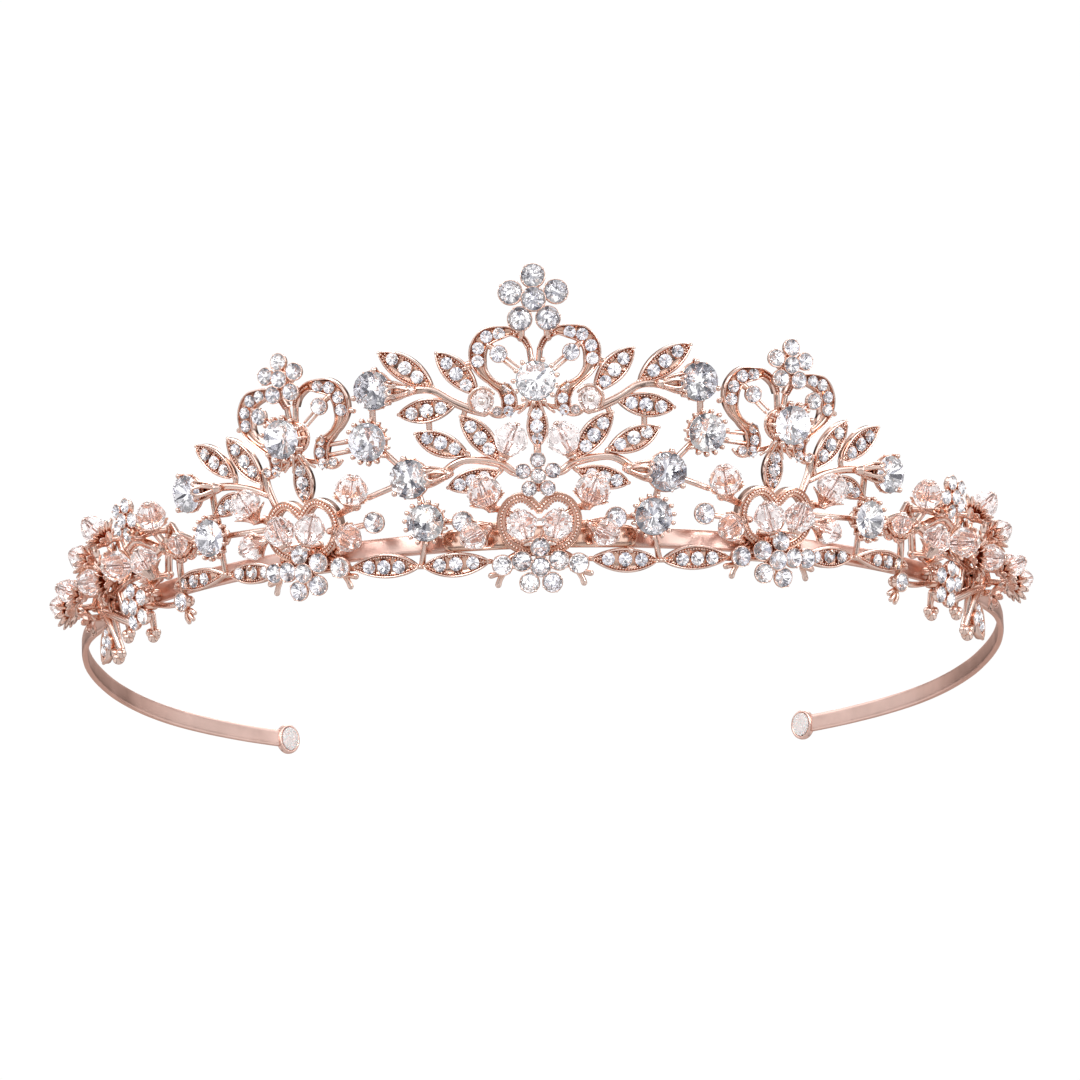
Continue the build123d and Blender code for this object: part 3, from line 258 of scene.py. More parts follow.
def curve(pts, step=0.3):
    """Even points along a smooth curve through pts (any number of coordinates)."""
    p = np.array(pts, float)
    if len(p) == 2:
        n = max(3, int(np.linalg.norm(p[1] - p[0]) / step) + 1)
        return p[0] + (p[1] - p[0]) * np.linspace(0, 1, n)[:, None]
    q = np.vstack([2 * p[0] - p[1], p, 2 * p[-1] - p[-2]])
    out = []
    for i in range(1, len(q) - 2):
        t = np.linspace(0, 1, 24, endpoint=False)[:, None]
        p0, p1, p2, p3 = q[i - 1], q[i], q[i + 1], q[i + 2]
        out.append(0.5 * (2 * p1 + (p2 - p0) * t + (2 * p0 - 5 * p1 + 4 * p2 - p3) * t ** 2 + (3 * p1 - p0 - 3 * p2 + p3) * t ** 3))
    out = np.vstack(out + [p[-1:]])
    d = np.concatenate([[0], np.cumsum(np.linalg.norm(np.diff(out, axis=0), axis=1))])
    n = max(4, int(d[-1] / step) + 1)
    t = np.linspace(0, d[-1], n)
    return np.stack([np.interp(t, d, out[:, k]) for k in range(p.shape[1])], -1)


def spread(values, n, eased=False):
    """Values at even places, resampled to n."""
    v = np.array(values, float)
    x = np.linspace(0, 1, n)
    return np.interp(x, np.linspace(0, 1, len(v)), v)


def grid(nu, nv, wrap_v=False):
    """Quads of an nu by nv grid of points."""
    i, j = np.meshgrid(np.arange(nu - 1), np.arange(nv if wrap_v else nv - 1), indexing="ij")
    j2 = (j + 1) % nv
    return np.stack([i * nv + j, i * nv + j2, (i + 1) * nv + j2, (i + 1) * nv + j], -1).reshape(-1, 4)


def tangents(p):
    t = np.gradient(p, axis=0)
    return t / np.maximum(np.linalg.norm(t, axis=1, keepdims=True), 1e-9)


def tube(path, rad, sides=10, up=None, flat=1.0, caps=(True, True)):
    """Round bar of changing radius along path, with rounded ends. flat scales it along up."""
    p = np.array(path, float)
    r = np.full(len(p), float(rad)) if np.isscalar(rad) else spread(rad, len(p)) if len(rad) != len(p) else np.array(rad, float)
    t = tangents(p)
    a, ra, ta, b, rb, tb = p[0], r[0], t[0], p[-1], r[-1], t[-1]
    if up is not None:
        up = np.broadcast_to(np.array(up, float), p.shape)
    if caps[0]:
        k = np.radians([84, 56, 28])[:, None]
        p = np.vstack([a - ta * ra * np.sin(k), p])
        r = np.concatenate([ra * np.cos(k[:, 0]), r])
        if up is not None:
            up = np.vstack([up[:1]] * 3 + [up])
    if caps[1]:
        k = np.radians([28, 56, 84])[:, None]
        p = np.vstack([p, b + tb * rb * np.sin(k)])
        r = np.concatenate([r, rb * np.cos(k[:, 0])])
        if up is not None:
            up = np.vstack([up] + [up[-1:]] * 3)
    t = tangents(p)
    if up is None:
        n = np.zeros_like(p)
        x = np.cross(t[0], [0.3, 0.9, 0.31])
        if np.linalg.norm(x) < 0.1:
            x = np.cross(t[0], [1, 0, 0])
        n[0] = x / np.linalg.norm(x)
        for i in range(1, len(p)):
            v = n[i - 1] - t[i] * (n[i - 1] @ t[i])
            n[i] = v / max(np.linalg.norm(v), 1e-9)
    else:
        n = up - t * np.sum(up * t, axis=1, keepdims=True)
        n = n / np.maximum(np.linalg.norm(n, axis=1, keepdims=True), 1e-9)
    b = np.cross(t, n)
    ang = np.linspace(0, 2 * math.pi, sides, endpoint=False)
    c, s_ = np.cos(ang)[None, :, None], np.sin(ang)[None, :, None]
    v = p[:, None, :] + r[:, None, None] * (c * b[:, None, :] + s_ * n[:, None, :] * flat)
    v = v.reshape(-1, 3)
    m = len(p)
    f = [grid(m, sides, True)]
    if caps[0]:
        f.append(np.arange(sides)[None, ::-1])
    if caps[1]:
        f.append((np.arange(sides) + (m - 1) * sides)[None, :])
    return v, f


def wire(pts, w0, w1=None, n=0.1, sides=10, flat=1.0, step=0.35, caps=(True, True)):
    """Round wire on the surface through (s, h) points; n is its depth, a number or a list along the wire."""
    p = curve(pts, step)
    w1 = w0 if w1 is None else w1
    depth = np.full(len(p), float(n)) if np.isscalar(n) else spread(n, len(p))
    return tube(S(p[:, 0], p[:, 1], depth), np.linspace(w0, w1, len(p)) / 2, sides, out_dir(p[:, 0]), flat, caps)


def bar3(pts, rad, sides=8, step=0.35, up=None, flat=1.0, caps=(True, True)):
    """Round bar through 3-D points."""
    return tube(curve(pts, step), rad, sides, up, flat, caps)


def lathe(profile, f, sides=28, flute=None, pole=(False, False)):
    """Turned surface about the frame's z from (r, z) points; flute changes r and z by angle."""
    pr = np.array(profile, float)
    ang = np.linspace(0, 2 * math.pi, sides, endpoint=False)
    r = np.repeat(pr[:, 0:1], sides, 1)
    z = np.repeat(pr[:, 1:2], sides, 1)
    if flute is not None:
        r, z = flute(ang[None, :], r, z, np.linspace(0, 1, len(pr))[:, None])
    v = at(f, np.stack([r * np.cos(ang), r * np.sin(ang), z], -1).reshape(-1, 3))
    fs = [grid(len(pr), sides, True)]
    if pole[0]:
        fs.append(np.arange(sides)[None, ::-1])
    if pole[1]:
        fs.append((np.arange(sides) + (len(pr) - 1) * sides)[None, :])
    return v, fs


def ico(level=1):
    t = (1 + 5 ** 0.5) / 2
    v = [(-1, t, 0), (1, t, 0), (-1, -t, 0), (1, -t, 0), (0, -1, t), (0, 1, t), (0, -1, -t), (0, 1, -t), (t, 0, -1), (t, 0, 1), (-t, 0, -1), (-t, 0, 1)]
    f = [(0, 11, 5), (0, 5, 1), (0, 1, 7), (0, 7, 10), (0, 10, 11), (1, 5, 9), (5, 11, 4), (11, 10, 2), (10, 7, 6), (7, 1, 8),
         (3, 9, 4), (3, 4, 2), (3, 2, 6), (3, 6, 8), (3, 8, 9), (4, 9, 5), (2, 4, 11), (6, 2, 10), (8, 6, 7), (9, 8, 1)]
    v = [tuple(x / math.sqrt(1 + t * t) for x in p) for p in v]
    for _ in range(level):
        new, cut = [], {}

        def mid(a, b):
            k = (min(a, b), max(a, b))
            if k not in cut:
                m = [(v[a][i] + v[b][i]) / 2 for i in range(3)]
                q = math.sqrt(sum(x * x for x in m))
                cut[k] = len(v)
                v.append(tuple(x / q for x in m))
            return cut[k]
        for a, b, c in f:
            ab, bc, ca = mid(a, b), mid(b, c), mid(c, a)
            new += [(a, ab, ca), (b, bc, ab), (c, ca, bc), (ab, bc, ca)]
        f = new
    return np.array(v), np.array(f)


ICO1, ICO2 = ico(1), ico(2)


def balls(centers, r, level=1):
    """Small round beads of metal."""
    iv, if_ = ICO1 if level == 1 else ICO2
    c = np.array(centers, float).reshape(-1, 3)
    rr = np.broadcast_to(np.asarray(r, float), (len(c),))
    v = (c[:, None, :] + iv[None] * rr[:, None, None]).reshape(-1, 3)
    f = (if_[None] + (np.arange(len(c)) * len(iv))[:, None, None]).reshape(-1, 3)
    return v, [f]


def channel(path, w, crest=0.60, floor=0.14, bottom=-0.60, rim=0.40, n_at=None):
    """Bar with a rounded rim on both edges and a sunk floor, along (s, h) points with half widths w."""
    p = np.array(path, float)
    w = np.maximum(np.array(w, float), 0.04)
    t = tangents(p)
    nrm = np.stack([-t[:, 1], t[:, 0]], -1)
    off = np.array([0.0, 0.0, 0.02, 0.09, 0.19, 0.29, 0.36, 0.42]) * rim / 0.42
    z = np.array([bottom, bottom * 0.2 + crest * 0.45, crest - 0.17, crest - 0.045, crest, crest - 0.05, crest - 0.18, floor + 0.05])
    z[1] = max(z[1], crest - 0.42)
    f = np.clip(w / (rim * 1.9), 0, 1)[:, None]
    g = np.clip((w - rim * 0.75) / (rim * 0.9), 0, 1)[:, None]
    g = g * g * (3 - 2 * g)
    side = w[:, None] - off[None, :] * f
    mid = np.stack([side[:, -1] * 0.5, side[:, -1] * 0.0], -1)
    cols = np.concatenate([side, mid], 1)
    top = crest - 0.02 - 0.22 * np.clip(1 - w / 0.5, 0, 1)[:, None]
    zz = np.concatenate([np.repeat(z[None, :], len(p), 0), np.full((len(p), 1), floor), np.full((len(p), 1), floor - 0.03)], 1)
    inner = np.arange(10) >= 5
    zz = np.where(inner[None, :], top + (zz - top) * g, np.minimum(zz, top + 0.02))
    left, zl = cols, zz
    right, zr = -cols[:, -2::-1], zz[:, -2::-1]
    o = np.concatenate([left, right], 1)
    z2 = np.concatenate([zl, zr], 1)
    lift = np.zeros(len(p)) if n_at is None else np.array(n_at, float)
    sh = p[:, None, :] + nrm[:, None, :] * o[:, :, None]
    k = o.shape[1]
    v = S(sh[..., 0], sh[..., 1], z2 + lift[:, None]).reshape(-1, 3)
    fs = [grid(len(p), k, True), np.arange(k)[None, :], (np.arange(k) + (len(p) - 1) * k)[None, ::-1]]
    return v, fs


def leaf_w(t, width, tip=0.64):
    """Half width of a pointed leaf: full near the foot, drawn out to the tip."""
    return width / 2 * np.sin(math.pi * t ** 1.06) ** tip


# ---------------------------------------------------------------- pieces: what goes on which CAD node
CHUNKS = {}


def flip(geo):
    v, fs = geo
    return v * np.array([-1.0, 1, 1]), [f[:, ::-1] for f in fs]


def put(where, node, geo, mat="gold", smooth=True, tone=0.5):
    """where: C centre piece as drawn, M centre piece and its mirror, R right piece with its mirror on the left."""
    if where == "C":
        CHUNKS.setdefault(node, []).append((geo, mat, smooth, tone))
    elif where == "M":
        CHUNKS.setdefault(node, []).append((geo, mat, smooth, tone))
        CHUNKS[node].append((flip(geo), mat, smooth, 1 - tone))
    else:
        CHUNKS.setdefault("right_" + node, []).append((geo, mat, smooth, tone))
        CHUNKS.setdefault("left_" + node, []).append((flip(geo), mat, smooth, 1 - tone))


# ---------------------------------------------------------------- stones
def outward(v, f, c):
    """Faces turned so that they face away from c."""
    p = v[f]
    nrm = np.cross(p[:, 1] - p[:, 0], p[:, 2] - p[:, 0])
    bad = np.sum(nrm * (p.mean(1) - c), axis=1) < 0
    f = f.copy()
    f[bad] = f[bad][:, ::-1]
    return f


def cut_stone(f, r, depth=0.62, spin=0.0):
    """Round brilliant: (vertices, crown faces, pavilion faces), its girdle at z = 0."""
    a8 = np.arange(8) * math.pi / 4 + spin
    a16 = np.arange(16) * math.pi / 8 + spin
    ring = lambda rr, a, z: np.stack([rr * np.cos(a), rr * np.sin(a), np.full(len(a), z)], -1)
    A = ring(0.54 * r, a8, 0.34 * r)
    B = ring(0.79 * r, a8 + math.pi / 8, 0.21 * r)
    C = ring(r, a16, 0.035 * r)
    D = ring(r, a16, -0.035 * r)
    E = ring(0.24 * r, a8 + math.pi / 8, -depth * r * 0.80)
    v = np.vstack([A, B, C, D, E, [[0, 0, -depth * r]]])
    a, b, c, d, e, q = 0, 8, 16, 32, 48, 56
    k = np.arange(8)
    k1 = (k + 1) % 8
    star = np.stack([a + k, b + k, a + k1], -1)
    kite = np.stack([a + k, b + (k - 1) % 8, c + 2 * k, b + k], -1)
    ug1 = np.stack([b + k, c + 2 * k, c + 2 * k + 1], -1)
    ug2 = np.stack([b + k, c + 2 * k + 1, c + (2 * k + 2) % 16], -1)
    g = np.arange(16)
    gird = np.stack([c + g, d + g, d + (g + 1) % 16, c + (g + 1) % 16], -1)
    lg1 = np.stack([e + k, d + 2 * k + 1, d + 2 * k], -1)
    lg2 = np.stack([e + k, d + (2 * k + 2) % 16, d + 2 * k + 1], -1)
    main = np.stack([np.full(8, q), e + k, d + 2 * k, e + (k - 1) % 8], -1)
    zero = np.array([0, 0, 0.02 * r])
    crown = [(a + k)[None, :], outward(v, star, zero), outward(v, kite, zero), outward(v, ug1, zero), outward(v, ug2, zero), outward(v, gird, zero)]
    pav = [outward(v, lg1, zero), outward(v, lg2, zero), outward(v, main, zero)]
    return at(f, v), crown, pav


def gem(where, node, f, r, depth=0.62):
    v, crown, pav = cut_stone(f, r, depth, RNG.uniform(0, math.pi / 4))
    t = float(RNG.uniform(0.1, 0.9))
    put(where, node, (v, crown), "glass", False, t)
    put(where, node, (v, pav), "foil", False, t)


def cut_bead(f, r, spin=0.0, hole=0.30, hl=0.88, sides=18):
    """Faceted double-cone crystal with a hole along z: long facets that swap between ridge and groove."""
    a = np.arange(sides) * 2 * math.pi / sides + spin
    half = math.pi / sides
    n = sides
    k = np.arange(n)
    k1 = (k + 1) % n
    groove = np.where(k % 2 == 0, 1.0, 0.93)
    ring = lambda rr, ang, z: np.stack([rr * np.cos(ang), rr * np.sin(ang), np.broadcast_to(z, ang.shape)], -1)
    rows = [ring(hole, a, hl * r * 0.95), ring(0.46 * r, a, hl * r), ring(0.80 * r * groove, a, 0.46 * r), ring(0.995 * r * groove, a, 0.10 * r),
            ring(0.995 * r * groove[::-1], a + half * 0.6, -0.10 * r), ring(0.80 * r * groove[::-1], a + half * 0.6, -0.46 * r), ring(0.46 * r, a + half * 0.6, -hl * r), ring(hole, a + half * 0.6, -hl * r * 0.95)]
    v = np.vstack(rows)
    R = lambda i, j: i * n + j
    out = []
    for i in range(7):
        if i in (0, 6):
            out.append(np.stack([R(i, k), R(i, k1), R(i + 1, k1), R(i + 1, k)], -1))
        elif i % 2:
            out += [np.stack([R(i, k), R(i, k1), R(i + 1, k1)], -1), np.stack([R(i, k), R(i + 1, k1), R(i + 1, k)], -1)]
        else:
            out += [np.stack([R(i, k), R(i, k1), R(i + 1, k)], -1), np.stack([R(i, k1), R(i + 1, k1), R(i + 1, k)], -1)]
    zero = np.zeros(3)
    fs = [outward(v, q, zero) for q in out]
    bore = np.stack([R(0, k), R(7, k), R(7, k1), R(0, k1)], -1)
    p = v[bore]
    nrm = np.cross(p[:, 1] - p[:, 0], p[:, 2] - p[:, 0])
    if np.sum(nrm[0] * p[0].mean(0)) > 0:      # the bore's faces look at the axis
        bore = bore[:, ::-1]
    return at(f, v), fs + [bore]


# ---------------------------------------------------------------- parts of the castings
def leaf(where, node, stone_node, tip, foot, width, stones, n=0.0):
    """Pointed leaf with a rounded rim, three stones and the grains that hold them."""
    tip, foot = np.array(tip), np.array(foot)
    d = tip - foot
    L = np.linalg.norm(d)
    ux, uy = d / L
    t = np.concatenate([[0.0, 0.012, 0.03], np.linspace(0.06, 0.94, 26), [0.97, 0.988, 1.0]])
    bow = 0.03 * L * np.sin(math.pi * t) * (1 if RNG.uniform() > 0.5 else -1) * 0.5
    path = foot + d * t[:, None] + np.stack([-uy * bow, ux * bow], -1)
    path[0] -= d * 0.012
    path[-1] += d * 0.018
    w = leaf_w(np.clip(t, 0, 1), width * 1.08)
    put(where, node, channel(path, w, crest=0.64, rim=0.44, n_at=np.full(len(t), n)))
    # ball at the tip, where the rim closes
    put(where, node, balls([S(tip[0] - ux * 0.05, tip[1] - uy * 0.05, 0.28 + n)], 0.30), "gold")
    grains, gr = [], []
    for i, (s, h, r) in enumerate(stones):
        gem(where, stone_node, fr(s, h, n + 0.52), r * 1.08, min(0.5, 0.33 / r))
        for q in (45, 135, 225, 315):
            a = math.radians(q + RNG.uniform(-12, 12))
            gs, gh = s + (ux * math.cos(a) - uy * math.sin(a)) * (r + 0.06), h + (uy * math.cos(a) + ux * math.sin(a)) * (r + 0.06)
            rel = np.array([gs, gh]) - foot
            along_, across = rel @ np.array([ux, uy]) / L, abs(rel @ np.array([-uy, ux]))
            if 0.03 < along_ < 0.97 and across < float(leaf_w(np.array(along_), width)) - 0.22:
                grains.append(S(gs, gh, n + 0.46))
                gr.append(0.145 + 0.03 * RNG.uniform())
    # fine beading along the inside of the rim, and grains towards both ends
    for e in (1, -1):
        for t_ in np.arange(0.05, 0.96, 0.42 / L):
            k = float(leaf_w(np.array(t_), width * 1.08)) - 0.56
            q = foot + d * t_ + np.array([-uy, ux]) * (e * k + float(np.interp(t_, t, bow)))
            if k > 0.10 and all(math.hypot(q[0] - s, q[1] - h) > r * 1.05 + 0.05 for s, h, r in stones):
                grains.append(S(q[0], q[1], n + 0.40))
                gr.append(0.155)
    for t_ in (0.06, 0.10, 0.145, 0.87, 0.91, 0.95):
        q = foot + d * t_
        grains.append(S(q[0], q[1], n + 0.40))
        gr.append(0.16)
    put(where, node, balls(grains, gr), "gold_fine")


def stone_cup(where, node, f, r, depth, wall=0.26, lip=0.14, sides=26):
    """Deep thin-walled cup, its rim just over the stone's girdle."""
    prof = [(0.35 * r, -depth), (0.62 * r + wall * 0.6, -depth + 0.02), (0.86 * r + wall, -depth * 0.66), (r + wall * 0.86, -depth * 0.30), (r + wall, 0.0),
            (r + wall * 0.96, lip * 0.75), (r + wall * 0.72, lip * 1.25), (r + wall * 0.40, lip * 1.3), (r + wall * 0.12, lip * 0.9), (r - 0.02, lip * 0.2),
            (r - 0.03, -0.16 * r), (0.80 * r, -0.34 * r), (0.30 * r, -0.66 * r)]
    prof[-1] = (0.30 * r, max(-0.68 * r, -depth + 0.1))
    put(where, node, lathe(prof, f, sides, pole=(True, True)))


def flower(where, node, stone_node, kind, depth=None, prongs=True, rim=0.24):
    _, s, h, n, rp, rs, rot, tilt = next(q for q in FLOWERS if q[0] == kind)
    f = fr(s, h, n, 0, tilt)
    depth = depth or max(0.95, 0.8 * rs)
    spots = [(0.0, 0.0)] + [(rp * math.cos(math.radians(90 + rot + 72 * i)), rp * math.sin(math.radians(90 + rot + 72 * i))) for i in range(5)]
    for j, (x, y) in enumerate(spots):
        lift = 0.35 if j == 0 else 0.0
        tx, ty = RNG.uniform(-1, 1, 2) * 4
        g = shift(f, x, y, lift)
        # petals open outward a little
        out = np.array([x, y]) / (math.hypot(x, y) or 1.0)
        k = 0.10 if j else 0.0
        z = g[3] + g[1] * (out[0] * k + tx * 0.004) + g[2] * (out[1] * k + ty * 0.004)
        z = z / np.linalg.norm(z)
        yv = g[2] - z * (g[2] @ z)
        yv = yv / np.linalg.norm(yv)
        g = (g[0], np.cross(yv, z), yv, z)
        stone_cup(where, node, g, rs * 1.07, depth, rim * 0.62, 0.10)
        gem(where, stone_node, shift(g, 0, 0, 0.08), rs * 1.09, 0.52)
        if prongs:
            a0 = RNG.uniform(0, 1)
            pr = [at(g, [(rs * 1.07 + 0.06) * math.cos(a0 + i * math.pi / 2), (rs * 1.07 + 0.06) * math.sin(a0 + i * math.pi / 2), 0.17]) for i in range(4)]
            put(where, node, balls(pr, 0.18 if rs > 1.2 else 0.15), "gold_fine")
    # arms from the middle of the back, to the petals
    for x, y in spots[1:]:
        put(where, node, bar3([at(f, [0, 0, -depth - 0.15]), at(f, [x * 0.55, y * 0.55, -depth - 0.1]), at(f, [x * 0.92, y * 0.92, -depth - 0.12])], [0.5, 0.42, 0.40], 8))
    put(where, node, bar3([surf(s, h, -0.35), at(f, [0, 0, -depth + 0.05])], [0.85, 0.75], 14, caps=(True, False)))
    return f, depth


def prong_ring(where, node, f, r, count, ball, reach, base_r, base_z, rod, top_z=0.12, phase=0.0, skip=()):
    """Ball-ended prongs round a stone: rods rise from base_z and lean in over the girdle."""
    tips = []
    for i in range(count):
        if i in skip:
            continue
        a = phase + 2 * math.pi * i / count
        c, k = math.cos(a), math.sin(a)
        p = [at(f, [base_r * c, base_r * k, base_z]), at(f, [(reach - 0.04) * c, (reach - 0.04) * k, base_z * 0.45]), at(f, [reach * c, reach * k, -0.06]),
             at(f, [(reach - 0.10) * c, (reach - 0.10) * k, top_z])]
        put(where, node, bar3(p, rod, 6, 0.4))
        tips.append(p[-1])
    put(where, node, balls(tips, ball, 2 if ball > 0.3 else 1), "gold")


def gallery(where, node, f, r, depth, sides=30):
    """Inner cup under a claw-set stone; its wire rings are added separately with ring_wire."""
    prof = [(0.30 * r, -depth), (0.58 * r, -depth), (0.80 * r, -depth * 0.62), (0.95 * r, -0.18 * r), (0.985 * r, -0.10 * r), (0.95 * r, -0.09 * r), (0.74 * r, -0.40 * r), (0.30 * r, min(-0.66 * r, -depth + 0.1))]
    put(where, node, lathe(prof, f, sides, pole=(True, True)))


def ring_wire(where, node, f, r, z, rad, sides=32):
    a = np.linspace(0, 2 * math.pi, sides, endpoint=False)
    t = np.linspace(0, 2 * math.pi, 8, endpoint=False)
    rr = r + rad * np.cos(t)[None, :] + 0 * a[:, None]
    zz = z + rad * np.sin(t)[None, :] + 0 * a[:, None]
    v = at(f, np.stack([rr * np.cos(a)[:, None], rr * np.sin(a)[:, None], zz], -1).reshape(-1, 3))
    i, j = np.meshgrid(np.arange(sides), np.arange(8), indexing="ij")
    i2, j2 = (i + 1) % sides, (j + 1) % 8
    q = np.stack([i * 8 + j, i2 * 8 + j, i2 * 8 + j2, i * 8 + j2], -1).reshape(-1, 4)
    put(where, node, (v, [q]))


def bell(where, node, f, r_neck, r_rim, length, ribs=9, deep=0.16, thick=0.17, z0=0.0, scallop=0.18):
    """Fluted trumpet that opens towards z: rounded ribs that end in scallops."""
    t = np.linspace(0, 1, 9)
    r = r_neck + (r_rim - r_neck) * (0.25 * t + 0.75 * t ** 2.1)
    z = z0 + length * t
    outer = list(zip(r, z))
    lip = [(r_rim + 0.03, z0 + length + thick * 0.45), (r_rim - thick * 0.55, z0 + length + thick * 0.55)]
    inner = list(zip(np.maximum(r[::-1] - thick, 0.12), z[::-1] + 0.03))
    prof = outer + lip + inner

    def flute(ang, rr, zz, u):
        near = np.clip((zz - z0) / length, 0, 1.05)
        wave = np.abs(np.cos(ang * ribs / 2))
        m = 1 + deep * near ** 1.3 * (wave - 0.55)
        return rr * m, zz + scallop * near ** 3 * (wave - 0.5)
    put(where, node, lathe(prof, f, ribs * 6, flute, pole=(True, True)))


def petal(where, node, f, length, width, thick=0.2, curl=0.55, sink=0.34, lift=0.0):
    """Hollow pointed petal along the frame's y, cupped towards z."""
    nu, nv = 12, 9
    u = np.linspace(0, 1, nu)[:, None]
    v = np.linspace(-1, 1, nv)[None, :]
    w = width / 2 * (np.sin(math.pi * np.clip(0.10 + 0.86 * u, 0, 1)) ** 0.72)
    x = w * v
    y = length * u + 0 * v
    z = curl * length * (u ** 1.6) * 0.6 + sink * (v ** 2) * np.sin(math.pi * u * 0.9 + 0.2) + lift
    top = at(f, np.stack([x, y, z + 0 * v], -1).reshape(-1, 3))
    x2 = x * 1.02
    low = at(f, np.stack([x2, y, z - thick + 0 * v], -1).reshape(-1, 3))
    n = nu * nv
    g = grid(nu, nv)
    edge = []
    b = np.concatenate([np.arange(nv), np.arange(1, nu) * nv + nv - 1, (nu - 1) * nv + np.arange(nv - 2, -1, -1), np.arange(nu - 2, 0, -1) * nv])
    b2 = np.roll(b, -1)
    edge = np.stack([b, b + n, b2 + n, b2], -1)
    put(where, node, (np.vstack([top, low]), [g[:, ::-1], g + n, edge]))
    rim_path = np.vstack([top.reshape(nu, nv, 3)[:, 0], top.reshape(nu, nv, 3)[::-1, -1]])
    put(where, node, tube(rim_path, 0.15, 6))


def row_of_balls(where, node, path3, r, gap, start=0.0, mat="gold_fine"):
    d = np.concatenate([[0], np.cumsum(np.linalg.norm(np.diff(path3, axis=0), axis=1))])
    t = np.arange(start, d[-1], gap)
    c = np.stack([np.interp(t, d, path3[:, k]) for k in range(3)], -1)
    put(where, node, balls(c, r), mat)


def twig(where, node, pts, w0, w1, n=0.25):
    """Short rounded twig, thicker and knobbed at its end."""
    p = curve(pts, 0.25)
    r = np.linspace(w0, w1, len(p)) / 2
    r[-3:] *= np.array([1.02, 1.10, 1.12])[-len(r[-3:]):]
    put(where, node, tube(S(p[:, 0], p[:, 1], n), r, 10, out_dir(p[:, 0]), 0.9))


# ---------------------------------------------------------------- crystal beads with pins and bells
BEAD_GROUP = {"center_leaf_bead": "inner_spray_casting", "center_heart_bead": "C", "center_upper_bead": "C", "center_lower_bead": "C",
              "heart_inner_bead": "heart_casting", "heart_outer_bead": "heart_casting", "upper_inner_bead": "heart_casting", "upper_outer_bead": "heart_casting",
              "lower_inner_bead": "heart_casting", "lower_outer_bead": "heart_casting", "end_upper_bead": "end_cluster_casting", "end_middle_bead": "end_cluster_casting"}
FOOT_SPOT = {}
for name, s, h, n, r, d in BEADS:
    dv = local_dir(s, d)
    c = np.array(surf(s, h, n))
    f = fr_dir(c, dv, RNG.uniform(0, 0.5))
    hl = 0.88 * r
    put("R", name, cut_bead(f, r * 1.05, hl=0.88 / 1.05), "bead", False, float(RNG.uniform(0.2, 0.8)))
    # pin with a small round head, and a collar under the bead
    put("M", "bead_pins", lathe([(0.01, -hl - 0.7), (0.20, -hl - 0.7), (0.20, hl + 0.04), (0.42, hl + 0.08), (0.50, hl + 0.2), (0.42, hl + 0.34), (0.24, hl + 0.42), (0.01, hl + 0.45)], f, 14), "pin")
    k = math.sqrt(sum(x * x for x in d))
    FOOT_SPOT[name] = tuple(v - w / k * (hl + 0.64) for v, w in zip((s, h, n), d))
    fs, fh, fn = FOOT_SPOT[name]
    node = BEAD_GROUP[name]
    where = "M" if node == "C" else "R"
    node = "center_heart_casting" if node == "C" else node
    big = name not in ("center_leaf_bead", "center_heart_bead", "heart_inner_bead", "heart_outer_bead")
    g = fr_dir(c - dv * (hl + 0.95), dv, RNG.uniform(0, 1))
    if big:
        bell(where, node, g, 0.6, r * 1.0, 1.25 + 0.24 * r, 11, 0.24, 0.20, -0.1, 0.34)
    else:
        bell(where, node, g, 0.45, 1.15, 0.78, 8, 0.14, 0.14, 0.0, 0.10)
        # wire turned round the pin's foot
        a = np.linspace(0, 2 * math.pi * 2.5, 40)
        put(where, node, tube(at(g, np.stack([0.62 * np.cos(a), 0.62 * np.sin(a), 0.05 + 0.012 * a], -1)), 0.13, 6), "pin")
    post = bar3([surf(fs, fh, -0.2), np.array(surf(fs, fh, fn * 0.6)), c - dv * (hl + 0.75)], [0.62, 0.5, 0.5], 10)
    put(where, node, post)

